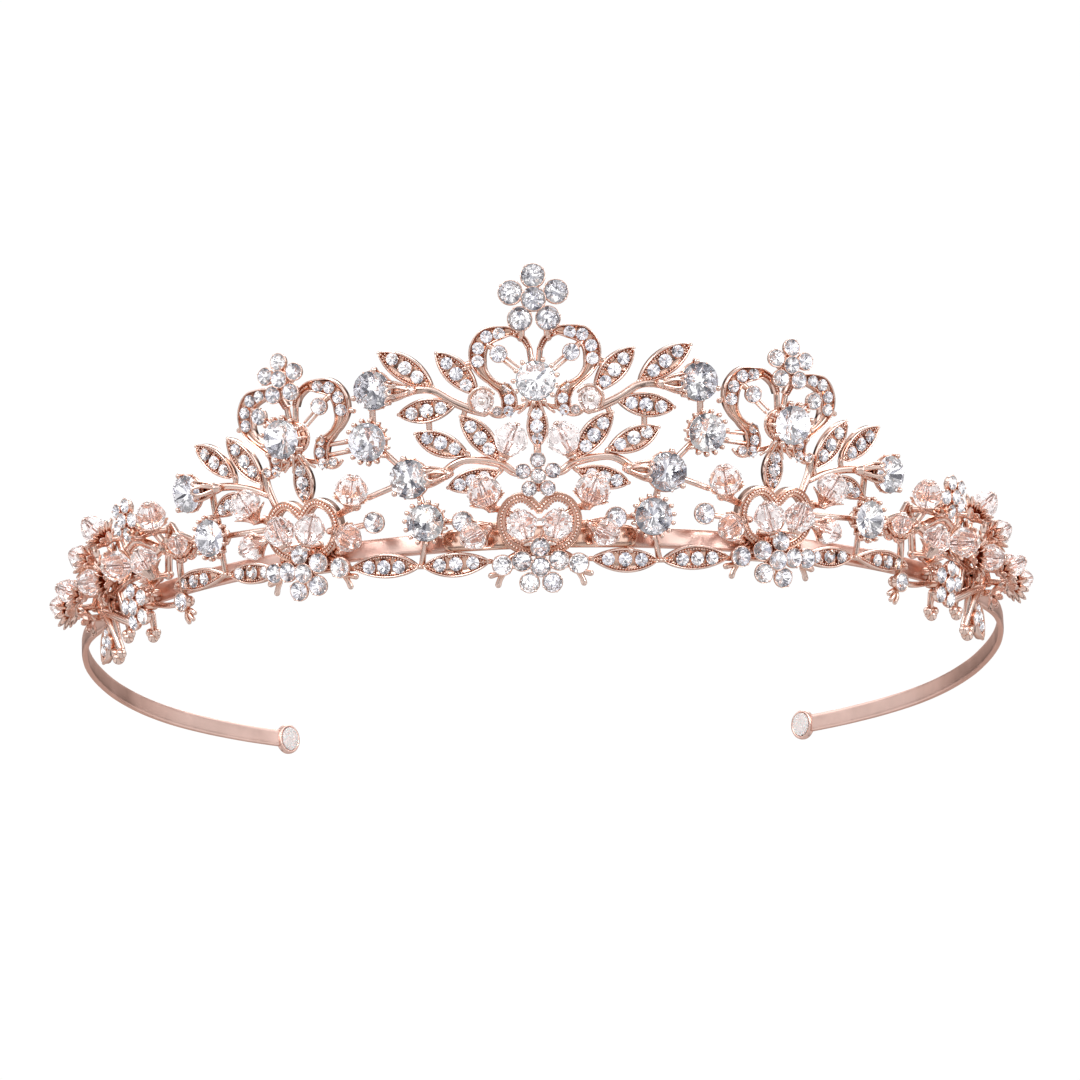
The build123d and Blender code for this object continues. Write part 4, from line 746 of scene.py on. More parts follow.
# ---------------------------------------------------------------- scrolls round a large stone
def scroll(kind):
    place = SCROLL_AT[kind]
    where = "C" if kind == "center" else "R"
    node = "center_scroll_casting" if kind == "center" else "scroll_casting"
    stones = "center_pave_stones" if kind == "center" else "pave_stones"
    T = lambda u, v: turn(u, v, place)
    TT = lambda pts, m: [T(m * u, v) for u, v in pts]
    for m in (1, -1):
        path = curve(TT([(0.75, 4.6), (1.5, 6.0), (3.1, 7.15), (4.95, 7.05), (6.75, 6.5), (7.85, 4.95), (8.0, 3.0), (7.35, 1.2), (5.9, -0.3), (4.5, -1.3), (3.8, -2.7), (3.95, -4.5)], m), 0.24)
        q = np.linspace(0, 1, len(path))
        w = np.interp(q, [0, 0.08, 0.17, 0.25, 0.34, 0.48, 0.56, 0.64, 0.72, 0.79, 0.86, 0.95, 1.0], [0.44, 0.50, 0.66, 1.02, 1.30, 1.30, 1.20, 0.82, 0.58, 0.74, 1.12, 1.18, 0.86])
        put(where, node, channel(path, w, crest=0.72, floor=0.16, rim=0.36))
        # beaded edge on the arm that runs down beside the stone
        k = int(len(path) * 0.20)
        arm = S(path[:k, 0], path[:k, 1], 0.62)
        row_of_balls(where, node, arm, 0.17, 0.36, 0.1)
        for i, (u, v) in enumerate(SCROLL_STONES):
            s, h = T(m * u, v)
            gem(where, stones, fr(s, h, 0.62), 0.90 if i in (0, 1, 2, 3) else 0.78, 0.42)
            near = np.argmin(np.hypot(path[:, 0] - s, path[:, 1] - h))
            t = tangents(path)[near]
            for e in (1, -1):
                put(where, node, balls([S(s + t[0] * e * 0.80 + t[1] * 0.35, h + t[1] * e * 0.80 - t[0] * 0.35, 0.50), S(s + t[0] * e * 0.80 - t[1] * 0.35, h + t[1] * e * 0.80 + t[0] * 0.35, 0.50)], 0.13), "gold_fine")
        # curled foot with its own stone
        fx = TT([(4.2, -4.7), (5.0, -5.1), (6.0, -5.0), (6.8, -4.4)], m)
        put(where, node, wire(fx, 0.75, 0.55, 0.15))
        s, h = T(m * SCROLL_FOOT_STONE[0], SCROLL_FOOT_STONE[1] + 0.1)
        stone_cup(where, node, fr(s, h, 0.62), 0.62, 0.8, 0.2, 0.1, 18)
        gem(where, stones, fr(s, h, 0.66), 0.62)
        # small stone inside the scroll, on two wires that run to the middle
        s, h = T(m * SCROLL_INNER[0], SCROLL_INNER[1])
        g = fr(s, h, 1.30)
        stone_cup(where, node, g, 1.18, 1.2, 0.15, 0.09, 22)
        gem(where, stones, shift(g, 0, 0, 0.08), 1.22, 0.44)
        put(where, node, balls([at(g, [1.2 * math.cos(a), 1.2 * math.sin(a), 0.2]) for a in (0.4, 1.97, 3.54, 5.11)], 0.17), "gold_fine")
        for e in (-0.27, 0.27):
            a, b = (4.25 + e * 0.7, 3.25 - e), (2.5 + e * 0.7, 1.75 - e)
            put(where, node, wire(TT([a, b], m), 0.42, 0.42, [0.7, 1.1], 8))
        put(where, node, wire(TT([(5.6, 4.7), (6.5, 5.35)], m), 0.9, 0.9, [0.5, 0.2]))
        # braces
        put(where, node, wire(TT([(4.3, -4.1), (2.4, -3.9), (0.3, -3.2)], m), 0.85, 0.7, 0.0))
        put(where, node, wire(TT([(0.75, 4.6), (0.6, 3.4), (0.5, 2.4)], m), 0.9, 0.9, [0.1, 0.3]))
        put(where, node, wire(TT([(8.9, 2.9), (9.7, 2.6)], m), 0.8, 0.8, 0.05))
        # two sprung wires from the stone's seat to the upright leaf
        put(where, node, wire(TT([(1.1, -2.6), (1.5, -3.8), (2.5, -4.7)], m), 0.55, 0.4, [1.2, 0.8, 0.5], 8))
        put(where, node, wire(TT([(0.4, -2.8), (0.75, -3.9), (1.15, -5.0)], m), 0.5, 0.35, [1.0, 0.75, 0.5], 8))
    leaf(where, node, stones, T(*MID_LEAF[1]), T(0, -3.3), MID_LEAF[2] * 0.98, [(*T(u, v), r) for u, v, r in MID_LEAF_STONES])
    put(where, node, wire([T(0, -9.0), T(0, -10.3)], 0.9, 0.8, 0.0))
    s, h = T(0, 0)
    put(where, node, bar3([surf(s, h, -0.4), surf(s, h, MOTIF_STONE_N - 1.95)], [1.5, 1.05], 20, caps=(True, False)))
    for q in np.linspace(0, 2 * math.pi, 11)[:-1]:
        p = [surf(s + 2.1 * math.cos(q), h + 2.1 * math.sin(q), 0.2), surf(s + 1.5 * math.cos(q), h + 1.5 * math.sin(q), 1.6), surf(s + 2.3 * math.cos(q), h + 2.3 * math.sin(q), MOTIF_STONE_N - 1.0)]
        put(where, node, bar3(p, 0.26, 7, 0.5))
    ring_wire(where, node, fr(s, h, 0.25), 2.1, 0.0, 0.34)
    f = fr(s, h, MOTIF_STONE_N, 0, 0)
    gallery(where, node, f, MOTIF_STONE_R, 2.1)
    prong_ring(where, node, f, MOTIF_STONE_R * 1.04, 13, 0.36, MOTIF_STONE_R * 1.04 + 0.40, 1.5, -2.2, 0.25, 0.10, 0.24)
    ring_wire(where, node, f, MOTIF_STONE_R - 0.15, -0.95, 0.20)
    gem("C" if kind == "center" else "M", "motif_round_stones", f, MOTIF_STONE_R * 1.05, 0.56)


scroll("center")
scroll("side")

# ---------------------------------------------------------------- hearts with their bottom flowers
def heart(kind):
    place = HEART_AT[kind]
    center = kind == "center"
    where = "C" if center else "R"
    node = "center_heart_casting" if center else "heart_casting"
    stones = "center_pave_stones" if center else "pave_stones"
    fstones = "center_flower_stones" if center else "flower_stones"
    T = lambda u, v: turn(u, v, place)
    TT = lambda pts, m: [T(m * u, v) for u, v in pts]
    for m in (1, -1):
        pts = [(0.05, 7.75), (0.12, 8.35)] + HEART_HALF[1:-1] + [(0.0, 2.1)]
        path = curve(TT([(u * 0.975, v) for u, v in pts], m), 0.22)
        w = np.full(len(path), 0.60)
        w[:4] = [0.36, 0.46, 0.54, 0.58]
        put(where, node, channel(path, w, crest=1.70, floor=1.50, bottom=-0.55, rim=0.18))
        mid = S(path[3:-3, 0], path[3:-3, 1], 1.60)
        row_of_balls(where, node, mid, 0.245, 0.47)
        inner = path[6:-6]
        nrm = np.stack([-tangents(path)[6:-6, 1], tangents(path)[6:-6, 0]], -1)
        toward = np.array(T(0, 6.4)) - inner
        sgn = np.sign(np.sum(nrm * toward, axis=1))[:, None]
        low = inner + nrm * sgn * 0.72
        row_of_balls(where, node, S(low[:, 0], low[:, 1], 1.05), 0.20, 0.44)
        # arm to the outer stone, its cup, and the forked twig under it
        put(where, node, wire(TT([(2.0, 2.4), (3.9, 1.5), (5.5, 0.5)], m), 1.1, 1.1, 0.2))
        s, h = T(m * HEART_BOTTOM_STONES[0], HEART_BOTTOM_STONES[1])
        g = fr(s, h, 1.60)
        stone_cup(where, node, g, HEART_BOTTOM_STONES[2] * 1.04, 1.6, 0.18, 0.10)
        gem(where, stones, shift(g, 0, 0, 0.08), HEART_BOTTOM_STONES[2] * 1.05, 0.46)
        put(where, node, balls([at(g, [1.5 * math.cos(q), 1.5 * math.sin(q), 0.17]) for q in (0.7, 2.27, 3.84, 5.41)], 0.18), "gold_fine")
        put(where, node, bar3([surf(s, h, -0.4), at(g, [0, 0, -1.2])], [0.95, 0.8], 12, caps=(True, False)))
        for a, b in TWIGS:
            twig(where, node, TT([a, ((a[0] + b[0]) / 2 + 0.08, (a[1] + b[1]) / 2), b], m), 0.86, 0.82)
        put(where, node, wire(TT([(5.5, 0.0), (5.85, -1.0)], m), 1.3, 1.1, 0.2))
    put(where, node, wire([T(0, 2.9), T(0, 0)], 1.5, 1.5, 0.1))
    put(where, node, wire([T(-5.5, 0.3), T(0, 0.2), T(5.5, 0.3)], 1.2, 1.2, 0.0))
    flower(where, node, fstones, "center_bottom" if center else "side_bottom")
    # wires from the feet of the beads to the heart
    names = ["center_heart_bead", "center_upper_bead", "center_lower_bead"] if center else [k for k, v in BEAD_GROUP.items() if v == "heart_casting"]
    s0, h0 = place[0], place[1] + 6.0
    w2 = "M" if center else "R"
    for k in names:
        fs, fh, fn = FOOT_SPOT[k]
        if abs(fs - s0) < 3.4 and "heart_" in k:
            a, b = (fs, fh), (s0 + (fs - s0) * 0.75, place[1] + 2.3)
        else:
            a, b = (fs, fh), (s0 + (fs - s0) * 0.60, h0 + (fh - h0) * 0.60)
        put(w2, node, wire([a, ((a[0] + b[0]) / 2, (a[1] + b[1]) / 2 + 0.15), b], 1.15, 1.05, 0.05))
        put(w2, node, balls([S(fs, fh, 0.1)], 0.75, 2))
        if "heart_" not in k:
            # fan of ribs at the foot of the bell
            for e in (-0.9, -0.45, 0.0, 0.45, 0.9):
                tip = (fs + (b[0] - fs) * 0.15 + e * 0.9, fh + (b[1] - fh) * 0.15 - abs(e) * 0.25 + 0.3)
                put(w2, node, wire([(fs * 0.35 + b[0] * 0.65 + e * 0.3, fh * 0.35 + b[1] * 0.65), tip], 0.42, 0.5, [0.5, 0.8 + 0.2 * fn], 6))
    for g_, s, h, r in BEZELS:
        if g_ == kind + "_heart":
            q = fr(s, h, 1.3)
            stone_cup(w2, node, q, r * 1.03, 1.35, 0.19, 0.10)
            gem(w2, stones, shift(q, 0, 0, 0.08), r * 1.05, 0.48)
            put(w2, node, bar3([surf(s, h, -0.4), at(q, [0, 0, -1.2])], [0.9, 0.75], 12, caps=(True, False)))
            target = (5.4, 5.6) if center else (place[0] - 5.2, place[1] + 5.9)
            put(w2, node, wire([(s, h), target], 0.9, 0.9, 0.1))
            put(w2, node, balls([at(q, [(r + 0.12) * math.cos(a), (r + 0.12) * math.sin(a), 0.18]) for a in (0.8, 2.37, 3.94, 5.5)], 0.17), "gold_fine")
    # hook between the two beads, in the heart's notch
    a = np.linspace(-0.6, 3.9, 22)
    c0, c1 = T(0.0, 6.2)
    hook = S(c0 + 0.75 * np.cos(a), c1 + 0.75 * np.sin(a), 2.4 + 0.1 * a)
    put(where, node, tube(hook, 0.2, 8), "pin")
    put(where, node, bar3([surf(c0, c1 - 3.2, 1.2), surf(c0, c1 - 2.0, 1.8), surf(c0 + 0.5, c1 - 0.7, 2.3)], 0.3, 8), "gold")
    if center:
        flower("C", node, "center_flower_stones", "center_mid", 0.8, True, 0.16)
        put("C", node, wire([(0, 17.4), (0, 14.5), (0, 11.0)], 1.1, 1.1, 0.0))
        put("M", node, wire([(0.3, 12.0), (1.2, 10.9), (2.0, 9.7)], 1.0, 0.95, [0.0, 0.6, 1.1]))
        put("M", node, bar3([surf(4.95, 3.7, 0.1), surf(4.95, 3.7, -1.7)], 0.65, 12))
    else:
        for e in (-4.6, 4.6):
            z = BAND_Z0 - (-BAND_R * math.cos((place[0] + e) / LATTICE_R) + BAND_R) * math.tan(math.radians(BAND_DROP_DEG))
            put("R", node, bar3([surf(place[0] + e, z, 0.1), surf(place[0] + e, z, -2.0)], 0.65, 12))


heart("center")
heart("side")

# ---------------------------------------------------------------- flowers on the tops of the scrolls
for m in (1, -1):
    p = [(m * 1.9, 33.0), (m * 1.75, 34.6), (m * 1.3, 36.0), (m * 0.3, 38.2)]
    put("C", "center_top_flower", wire(p, 1.15, 1.0, [0.15, 0.4, 0.6, 0.9]))
    put("C", "center_top_flower", balls([S(m * 2.35, 33.9, 0.75), S(m * 1.9, 34.5, 0.8), S(m * 2.75, 33.5, 0.7)], 0.26), "gold")
flower("C", "center_top_flower", "center_flower_stones", "center_top", 1.55, True, 0.26)
P0 = SCROLL_AT["side"]
for m in (1, -1):
    a = turn(m * 1.7, 6.2, P0)
    put("R", "top_flower", wire([a, ((a[0] + 36.6) / 2 + m * 0.2, (a[1] + 28.6) / 2), (36.6, 28.6)], 1.0, 0.9, [0.1, 0.4, 0.7]))
flower("R", "top_flower", "flower_stones", "side_top", 1.15, True, 0.22)

# ---------------------------------------------------------------- sprays of leaves with the large round stones
def tulip(where, node, base, mouth, size, n0=1.0, n1=2.4):
    """Open bud of hollow petals that holds a stone from one side: base and mouth in (s, h)."""
    b, m = np.array(surf(*base, n0)), np.array(surf(*mouth, n1))
    d = m - b
    L = np.linalg.norm(d)
    d = d / L
    out = np.array(axes(base[0])[2])
    side = np.cross(d, out)
    side = side / np.linalg.norm(side)
    out = np.cross(side, d)
    for a in (-125, -62, 0, 62, 125):
        q = math.radians(a)
        z = side * math.sin(q) + out * math.cos(q)             # from the axis outwards
        x = np.cross(d, z)
        wide = 1.02 if a else 0.95
        loop = []
        for t in np.linspace(0, 1, 15):
            u = math.sin(math.pi * t)
            loop.append(b + z * (0.35 + 1.05 * u ** 0.8) + x * (wide * math.sin(2 * math.pi * t) * 0.72 * (0.55 + 0.45 * u)) + d * (L * size * (0.02 + 0.98 * u ** 1.25)))
        put(where, node, tube(curve(loop, 0.3), 0.25, 7))
    petal(where, node, (b - out * 0.35, side, d - out * 0.22, out), L * size * 0.86, 1.7, 0.16, -0.06, 0.30)
    put(where, node, lathe([(0.35, -0.9), (0.62, -0.5), (0.85, 0.1), (0.9, 0.45), (0.5, 0.6)], (b, side, out, d), 16, pole=(True, True)))


def chaton(where, node, stone_node, name, s, h, r):
    r = r * 1.05
    f = fr(s, h, CHATON_N)
    gallery(where, node, f, r, 1.75)
    put(where, node, bar3([surf(s, h, -0.4), surf(s, h, CHATON_N - 1.7)], [1.5, 1.1], 20, caps=(True, False)))
    ring_wire(where, node, f, r - 0.1, -0.85, 0.19)
    if name in ("upper", "lower", "outer_upper"):
        prong_ring(where, node, f, r, 3, 0.42, r + 0.24, 1.3, -1.75, 0.30, 0.18, {"upper": 1.75, "lower": 1.35, "outer_upper": 1.2}[name])
        for a in np.linspace(0, 2 * math.pi, 9)[:-1] + 0.3:
            p = [at(f, [1.2 * math.cos(a), 1.2 * math.sin(a), -1.7]), at(f, [(r + 0.05) * math.cos(a), (r + 0.05) * math.sin(a), -0.75])]
            put(where, node, bar3(p, 0.2, 6, 0.5))
    else:
        prong_ring(where, node, f, r, 15, 0.34, r + 0.40, 1.25, -1.75, 0.25, 0.04, 0.1)
    gem(where, stone_node, f, r, 0.56)


CH = {c[0]: c for c in CHATONS}


def spray(node, leaves, stems, names, extra=()):
    for tip, foot, w, st in leaves:
        leaf("R", node, "pave_stones", tip, foot, w, st)
    course = []
    for i, (pts, w0, w1) in enumerate(stems):
        if pts == [(15.4, 22.7), (15.4, 18.7)]:
            pts = [(15.4, 22.1), (15.4, 19.6)]
        if pts == [(24.0, 19.3), (29.2, 18.9)]:
            pts = [(24.0, 19.3), (30.5, 18.7)]
        if pts == [(24.0, 18.0), (29.8, 17.4)]:
            pts = [(24.0, 18.0), (31.2, 17.1)]
        if pts == [(44.0, 6.6), (51.4, 6.1)]:
            pts = [(41.2, 6.7), (51.4, 6.1)]
        if pts == [(9.2, 29.0), (11.0, 28.5)]:
            pts = [(9.2, 29.0), (10.1, 28.75)]
        put("R", node, wire(pts, w0, w1, 0.08))
        course += [tuple(p) for p in curve(pts, 0.3)]
        if i < 2 and len(pts) > 4:
            # second, thinner wire that runs along the main stem
            p = curve(pts, 0.4)
            t = tangents(p)
            q = p + np.stack([t[:, 1], -t[:, 0]], -1) * (0.42 + 0.10 * np.sin(np.linspace(0, 9, len(p))))[:, None]
            put("R", node, tube(S(q[:, 0], q[:, 1], 0.30), 0.26, 8, out_dir(q[:, 0])))
    for tip, foot, w, st in leaves:
        foot, tip = np.array(foot), np.array(tip)
        d = (tip - foot) / np.linalg.norm(tip - foot)
        inside = foot + d * 1.2
        near = np.array(min(course, key=lambda p: math.hypot(p[0] - foot[0], p[1] - foot[1])))
        if np.linalg.norm(near - foot) > 0.05:
            put("R", node, wire([tuple(inside), tuple(foot), tuple(near)], 0.85, 0.8, 0.0))
    for k in names:
        _, s, h, r = CH[k]
        chaton("R", node, "crown_set_stones", k, s, h, r)
    for pts, w in extra:
        put("R", node, wire(pts, w, w, 0.05))


spray("inner_spray_casting", INNER_LEAVES, INNER_STEMS, ("upper", "middle", "lower", "bottom"),
      [([(5.0, 15.9), (5.4, 14.9)], 0.9), ([(10.6, 21.3), (9.9, 23.3)], 0.8)])
spray("outer_spray_casting", OUTER_LEAVES, OUTER_STEMS, ("outer_upper", "outer_lower"), [([(52.4, 13.3), (55.3, 13.0)], 1.2)])
tulip("R", "inner_spray_casting", (17.7, 26.0), (20.9, 26.0), 1.0)
tulip("R", "inner_spray_casting", (12.9, 13.6), (16.1, 13.2), 1.0)
tulip("R", "outer_spray_casting", (50.3, 13.4), (53.5, 13.2), 1.0)
# foot of the leaf bead
fs, fh, fn = FOOT_SPOT["center_leaf_bead"]
put("R", "inner_spray_casting", balls([S(fs, fh, 0.1)], 0.8, 2))

# ---------------------------------------------------------------- leaves along the bottom edge
put("R", "outer_spray_casting", wire([(41.9, 15.2), (41.3, 12.6), (39.9, 9.8)], 1.2, 1.1, [0.1, 0.3, 0.7]))
for i, (tip, foot, w, st) in enumerate(BASE_LEAVES):
    leaf("R", "base_leaf_row", "pave_stones", tip, foot, w, st)
    ends = {0: [(7.3, 0.5), (8.9, 0.45)], 1: [(16.4, 0.1), (19.3, 0.1)], 2: [(49.4, 0.4), (52.6, 0.2)], 3: [(61.0, -0.6), (62.6, -1.0)]}[i]
    put("R", "base_leaf_row", wire(ends, 0.8, 0.8, 0.0))
    if i == 1:
        put("R", "base_leaf_row", wire([(27.0, 0.3), (28.6, 0.2)], 0.8, 0.8, 0.0))
    if i == 2:
        put("R", "base_leaf_row", wire([(42.6, 0.4), (41.6, 0.3)], 0.8, 0.8, 0.0))


def behind(s, h=None, depth=-1.8):
    z = BAND_Z0 - (-BAND_R * math.cos(s / LATTICE_R) + BAND_R) * math.tan(math.radians(BAND_DROP_DEG))
    return [surf(s, z if h is None else h, 0.1), surf(s, z, depth)]


for s, h in ((13.2, 1.6), (46.0, 1.2), (57.0, 0.4)):
    put("R", "base_leaf_row", bar3([surf(s, h, 0.1), surf(s, h, -2.0)], 0.6, 12))
put("R", "base_leaf_row", bar3([surf(17.5, 0.1, 0), surf(17.5, 2.6, -1.4)], 0.42, 10))
put("R", "base_leaf_row", balls([S(17.7, 0.1, 0.45), S(50.7, 0.45, 0.45)], 0.34), "gold")

# ---------------------------------------------------------------- end clusters
E = "end_cluster_casting"
spine = [(56.5, 5.6), (60.5, 6.6), (65.0, 5.2), (69.6, 3.0), (74.0, 1.4)]
spine_b = [(72.4, 1.8), (76.0, 1.0), (80.0, -0.4), (84.0, -2.4), (87.5, -4.2)]
put("R", E, wire(spine, 1.7, 1.7, 0.0, 12))
put("R", E, wire(spine_b, 2.0, 1.6, 0.0, 12))
for pts, w0, w1 in (([(64.0, 6.0), (67.0, 8.4), (69.8, 10.0)], 1.4, 1.2), ([(68.0, 3.6), (69.1, 0.2), (69.5, -3.3)], 1.5, 1.4), ([(60.4, 6.4), (60.9, 2.0), (60.6, -3.0)], 1.1, 1.1),
                    ([(60.2, -3.2), (64.5, -3.6), (69.0, -3.2)], 0.95, 0.95), ([(60.6, 7.0), (61.8, 8.6)], 1.0, 1.0), ([(76.0, 1.0), (75.6, 5.6), (77.2, 9.3)], 1.25, 1.1),
                    ([(80.0, -0.2), (80.6, 3.0), (82.0, 5.2)], 1.2, 1.1), ([(84.5, -2.6), (84.6, -6.6)], 1.5, 1.3), ([(87.0, -4.0), (91.2, -2.4)], 1.25, 1.1), ([(85.0, -3.0), (86.6, 0.4)], 1.25, 1.1)):
    put("R", E, wire(pts, w0, w1, 0.05))


def fan(pts, w0, w1, n=0.3, fingers=3):
    """Small scalloped fan: a stem that splits into rounded fingers."""
    a, b = np.array(pts[-2]), np.array(pts[-1])
    d = (b - a) / np.linalg.norm(b - a)
    twig("R", E, list(pts[:-1]) + [tuple(b - d * 0.7)], w0, w1 * 0.9, n)
    side = np.array([-d[1], d[0]])
    for i in range(fingers):
        e = (i - (fingers - 1) / 2) / max(1, fingers - 1) * 2
        p0 = b - d * 1.8 + side * e * 0.15
        p1 = b + side * e * 1.0 + d * (0.15 - 0.35 * abs(e))
        put("R", E, wire([tuple(p0), tuple((p0 + p1) / 2 + side * e * 0.22), tuple(p1)], 0.62, 0.74, [n, n + 0.28, n + 0.2], 9))


fan([(60.2, -4.0), (59.6, -4.8), (58.7, -5.8)], 1.3, 0.9, 0.3)
fan([(69.3, -4.8), (69.0, -6.8), (68.9, -8.4)], 1.4, 1.0, 0.3)
fan([(79.5, -0.6), (77.6, -5.0), (76.7, -8.2)], 1.4, 1.0, 0.2)
fan([(82.5, -1.8), (81.6, -7.0), (81.3, -11.3)], 1.4, 1.05, 0.2)
tip, foot, w, st = END_LEAF
leaf("R", E, "pave_stones", tip, foot, w, st)
for nm in ("end_upper_bead", "end_middle_bead"):
    fs, fh, fn = FOOT_SPOT[nm]
    put("R", E, wire([(fs, fh), (63.0, 6.0)], 1.2, 1.2, 0.05))
    put("R", E, balls([S(fs, fh, 0.1)], 0.8, 2))
g = fr(60.2, -3.2, 1.2)
stone_cup("R", E, g, 1.3, 1.3, 0.24, 0.12)
gem("R", "pave_stones", shift(g, 0, 0, 0.06), 1.3)
put("R", E, bar3([surf(60.2, -3.2, -0.4), at(g, [0, 0, -1.2])], [0.9, 0.75], 12, caps=(True, False)))
FULLER = (1.10, 1.14, 1.22, 1.34, 1.15, 1.12, 1.12)
SHELL = (1.30, 1.34, 1.28, 1.12, 1.10, 1.52, 1.36)
for i, (s, h, n, r, d) in enumerate(CUP_BEADS):
    r = r * FULLER[i]
    dv = local_dir(s, d)
    c = np.array(surf(s, h, n))
    hl = 0.88 * r
    f = fr_dir(c, dv, RNG.uniform(0, 0.5))
    put("R", "end_cup_beads", cut_bead(f, r), "bead", False, float(RNG.uniform(0.2, 0.8)))
    put("M", "bead_pins", lathe([(0.01, -hl - 0.55), (0.24, -hl - 0.55), (0.24, hl + 0.04), (0.54, hl + 0.08), (0.62, hl + 0.2), (0.52, hl + 0.34), (0.3, hl + 0.42), (0.01, hl + 0.46)], f, 14), "pin")
    k = math.sqrt(sum(x * x for x in d))
    fs, fh, fn = s - d[0] / k * (hl + 0.6), h - d[1] / k * (hl + 0.6), n - d[2] / k * (hl + 0.6)
    g = fr_dir(c - dv * (hl + 0.9), dv, RNG.uniform(0, 1))
    bell("R", E, g, 0.80, r * SHELL[i], 1.35 + 0.30 * r, 12, 0.34, 0.22, -0.5, 0.42)
    bell("R", E, fr_dir(c - dv * (hl + 1.15), dv, 0.3), 0.7, r * SHELL[i] * 0.72, 0.9, 9, 0.30, 0.20, -0.4, 0.30)
    put("R", E, bar3([surf(fs, fh, -0.3), surf(fs, fh, fn * 0.6), c - dv * (hl + 0.9)], [0.62, 0.55, 0.5], 10))
    near = min((spine if fs < 74.2 else spine_b + [(75.6, 5.6), (80.6, 3.0), (86.6, 0.4), (91.2, -2.4)]), key=lambda p: math.hypot(p[0] - fs, p[1] - fh))
    put("R", E, wire([(fs, fh), near], 1.15, 1.15, 0.05))
    put("R", E, balls([S(fs, fh, 0.1)], 0.8, 2))
# broad bars and small fans that close the gaps
for pts, w0, w1, n_ in (([(66.0, 5.4), (70.5, 6.6), (74.6, 5.0)], 1.7, 1.4, 0.4), ([(72.6, 2.2), (74.6, 4.4), (76.6, 7.4)], 1.5, 1.2, 0.5), ([(66.4, 1.0), (70.2, -0.8), (73.6, -1.6)], 1.8, 1.5, 0.2),
                        ([(75.2, -5.6), (79.6, -4.6), (84.4, -3.6)], 1.7, 1.5, 0.5), ([(86.0, -3.6), (83.0, -6.2), (80.8, -9.6)], 1.5, 1.3, 0.3), ([(80.0, 0.4), (83.6, 2.6), (88.4, 0.6)], 1.4, 1.2, 0.5),
                        ([(84.0, -2.2), (87.4, -0.8), (90.4, -2.8)], 1.6, 1.3, 0.4)):
    put("R", E, wire(pts, w0, w1, n_, 12))
for s, h, n_, r, dd in ((67.6, 7.8, 1.5, 1.9, (-0.3, 0.9, 0.5)), (74.4, 2.4, 1.6, 2.2, (0.2, 0.75, 0.62)), (76.2, 4.6, 2.0, 1.9, (0.7, 0.5, 0.5)), (81.0, -1.2, 1.7, 2.3, (0.3, -0.5, 0.8)), (84.8, 1.6, 2.2, 2.0, (0.3, 0.7, 0.6)),
                        (88.6, -4.4, 1.8, 2.3, (0.6, -0.3, 0.7)), (66.6, 0.6, 1.3, 1.8, (-0.3, 0.4, 0.85)), (61.0, 5.0, 1.2, 1.7, (-0.5, 0.6, 0.6))):
    dv = local_dir(s, dd)
    g = fr_dir(np.array(surf(s, h, n_)), dv, RNG.uniform(0, 1))
    bell("R", E, g, 0.55, r, 1.0, 10, 0.34, 0.20, -0.5, 0.40)
    put("R", E, balls([at(g, [0, 0, 0.25])], 0.5, 2))
    put("R", E, bar3([surf(s, h, -0.2), at(g, [0, 0, -0.4])], [0.6, 0.55], 10))
g = fr(83.4, -8.4, 1.2)
stone_cup("R", E, g, 1.05, 1.3, 0.22, 0.12)
gem("R", "pave_stones", shift(g, 0, 0, 0.06), 1.05)
put("R", E, bar3([surf(83.4, -8.4, -0.2), at(g, [0, 0, -1.2])], [0.8, 0.7], 12, caps=(True, False)))
put("R", E, balls([S(81.3, -11.0, 0.7), S(82.2, -10.2, 0.6), S(80.2, -10.3, 0.6)], [0.95, 0.8, 0.8], 2))
put("R", E, balls([S(76.7, -8.0, 0.7), S(77.6, -7.4, 0.6), S(75.8, -7.3, 0.6)], [0.85, 0.7, 0.7], 2))
put("R", E, balls([S(68.9, -8.2, 0.7), S(69.8, -7.5, 0.6), S(68.0, -7.5, 0.6)], [0.85, 0.7, 0.7], 2))
flower("R", E, "flower_stones", "end_top", 1.05, True, 0.20)
flower("R", E, "flower_stones", "end_bottom", 1.15, True, 0.22)
for s in (69.0, 78.7, 84.4):
    h = {69.0: -1.6, 78.7: -2.6, 84.4: -3.3}[s]
    put("R", E, bar3([surf(s, h, 0.1), surf(s, h, -2.0)], 0.62, 12))

# ---------------------------------------------------------------- rondelles at the scroll's feet
for s, h, n, r in RONDELLES:
    f = fr(s, h, n)
    put("M", "center_rondelles", cut_bead(f, r, 0.1, 0.30, 0.60, 12), "bead", False, 0.3)
    put("M", "bead_pins", lathe([(0.01, -2.4), (0.24, -2.4), (0.24, 0.62 * r + 0.06), (0.55, 0.62 * r + 0.14), (0.5, 0.62 * r + 0.32), (0.01, 0.62 * r + 0.4)], f, 14), "pin")
    a = np.linspace(-0.5, 2.6, 18)
    put("M", "center_scroll_casting", tube(at(f, np.stack([1.95 * np.cos(a), 1.95 * np.sin(a), -0.2 + 0.25 * np.sin(a)], -1)), [0.34, 0.3, 0.2], 8))

# ---------------------------------------------------------------- headband strip, its arms and tips
SLOPE = math.radians(BAND_DROP_DEG)
BX, BY, BZ = np.array([1.0, 0, 0]), np.array([0, math.cos(SLOPE), -math.sin(SLOPE)]), np.array([0, math.sin(SLOPE), math.cos(SLOPE)])
B0 = np.array([0, -BAND_R, BAND_Z0])


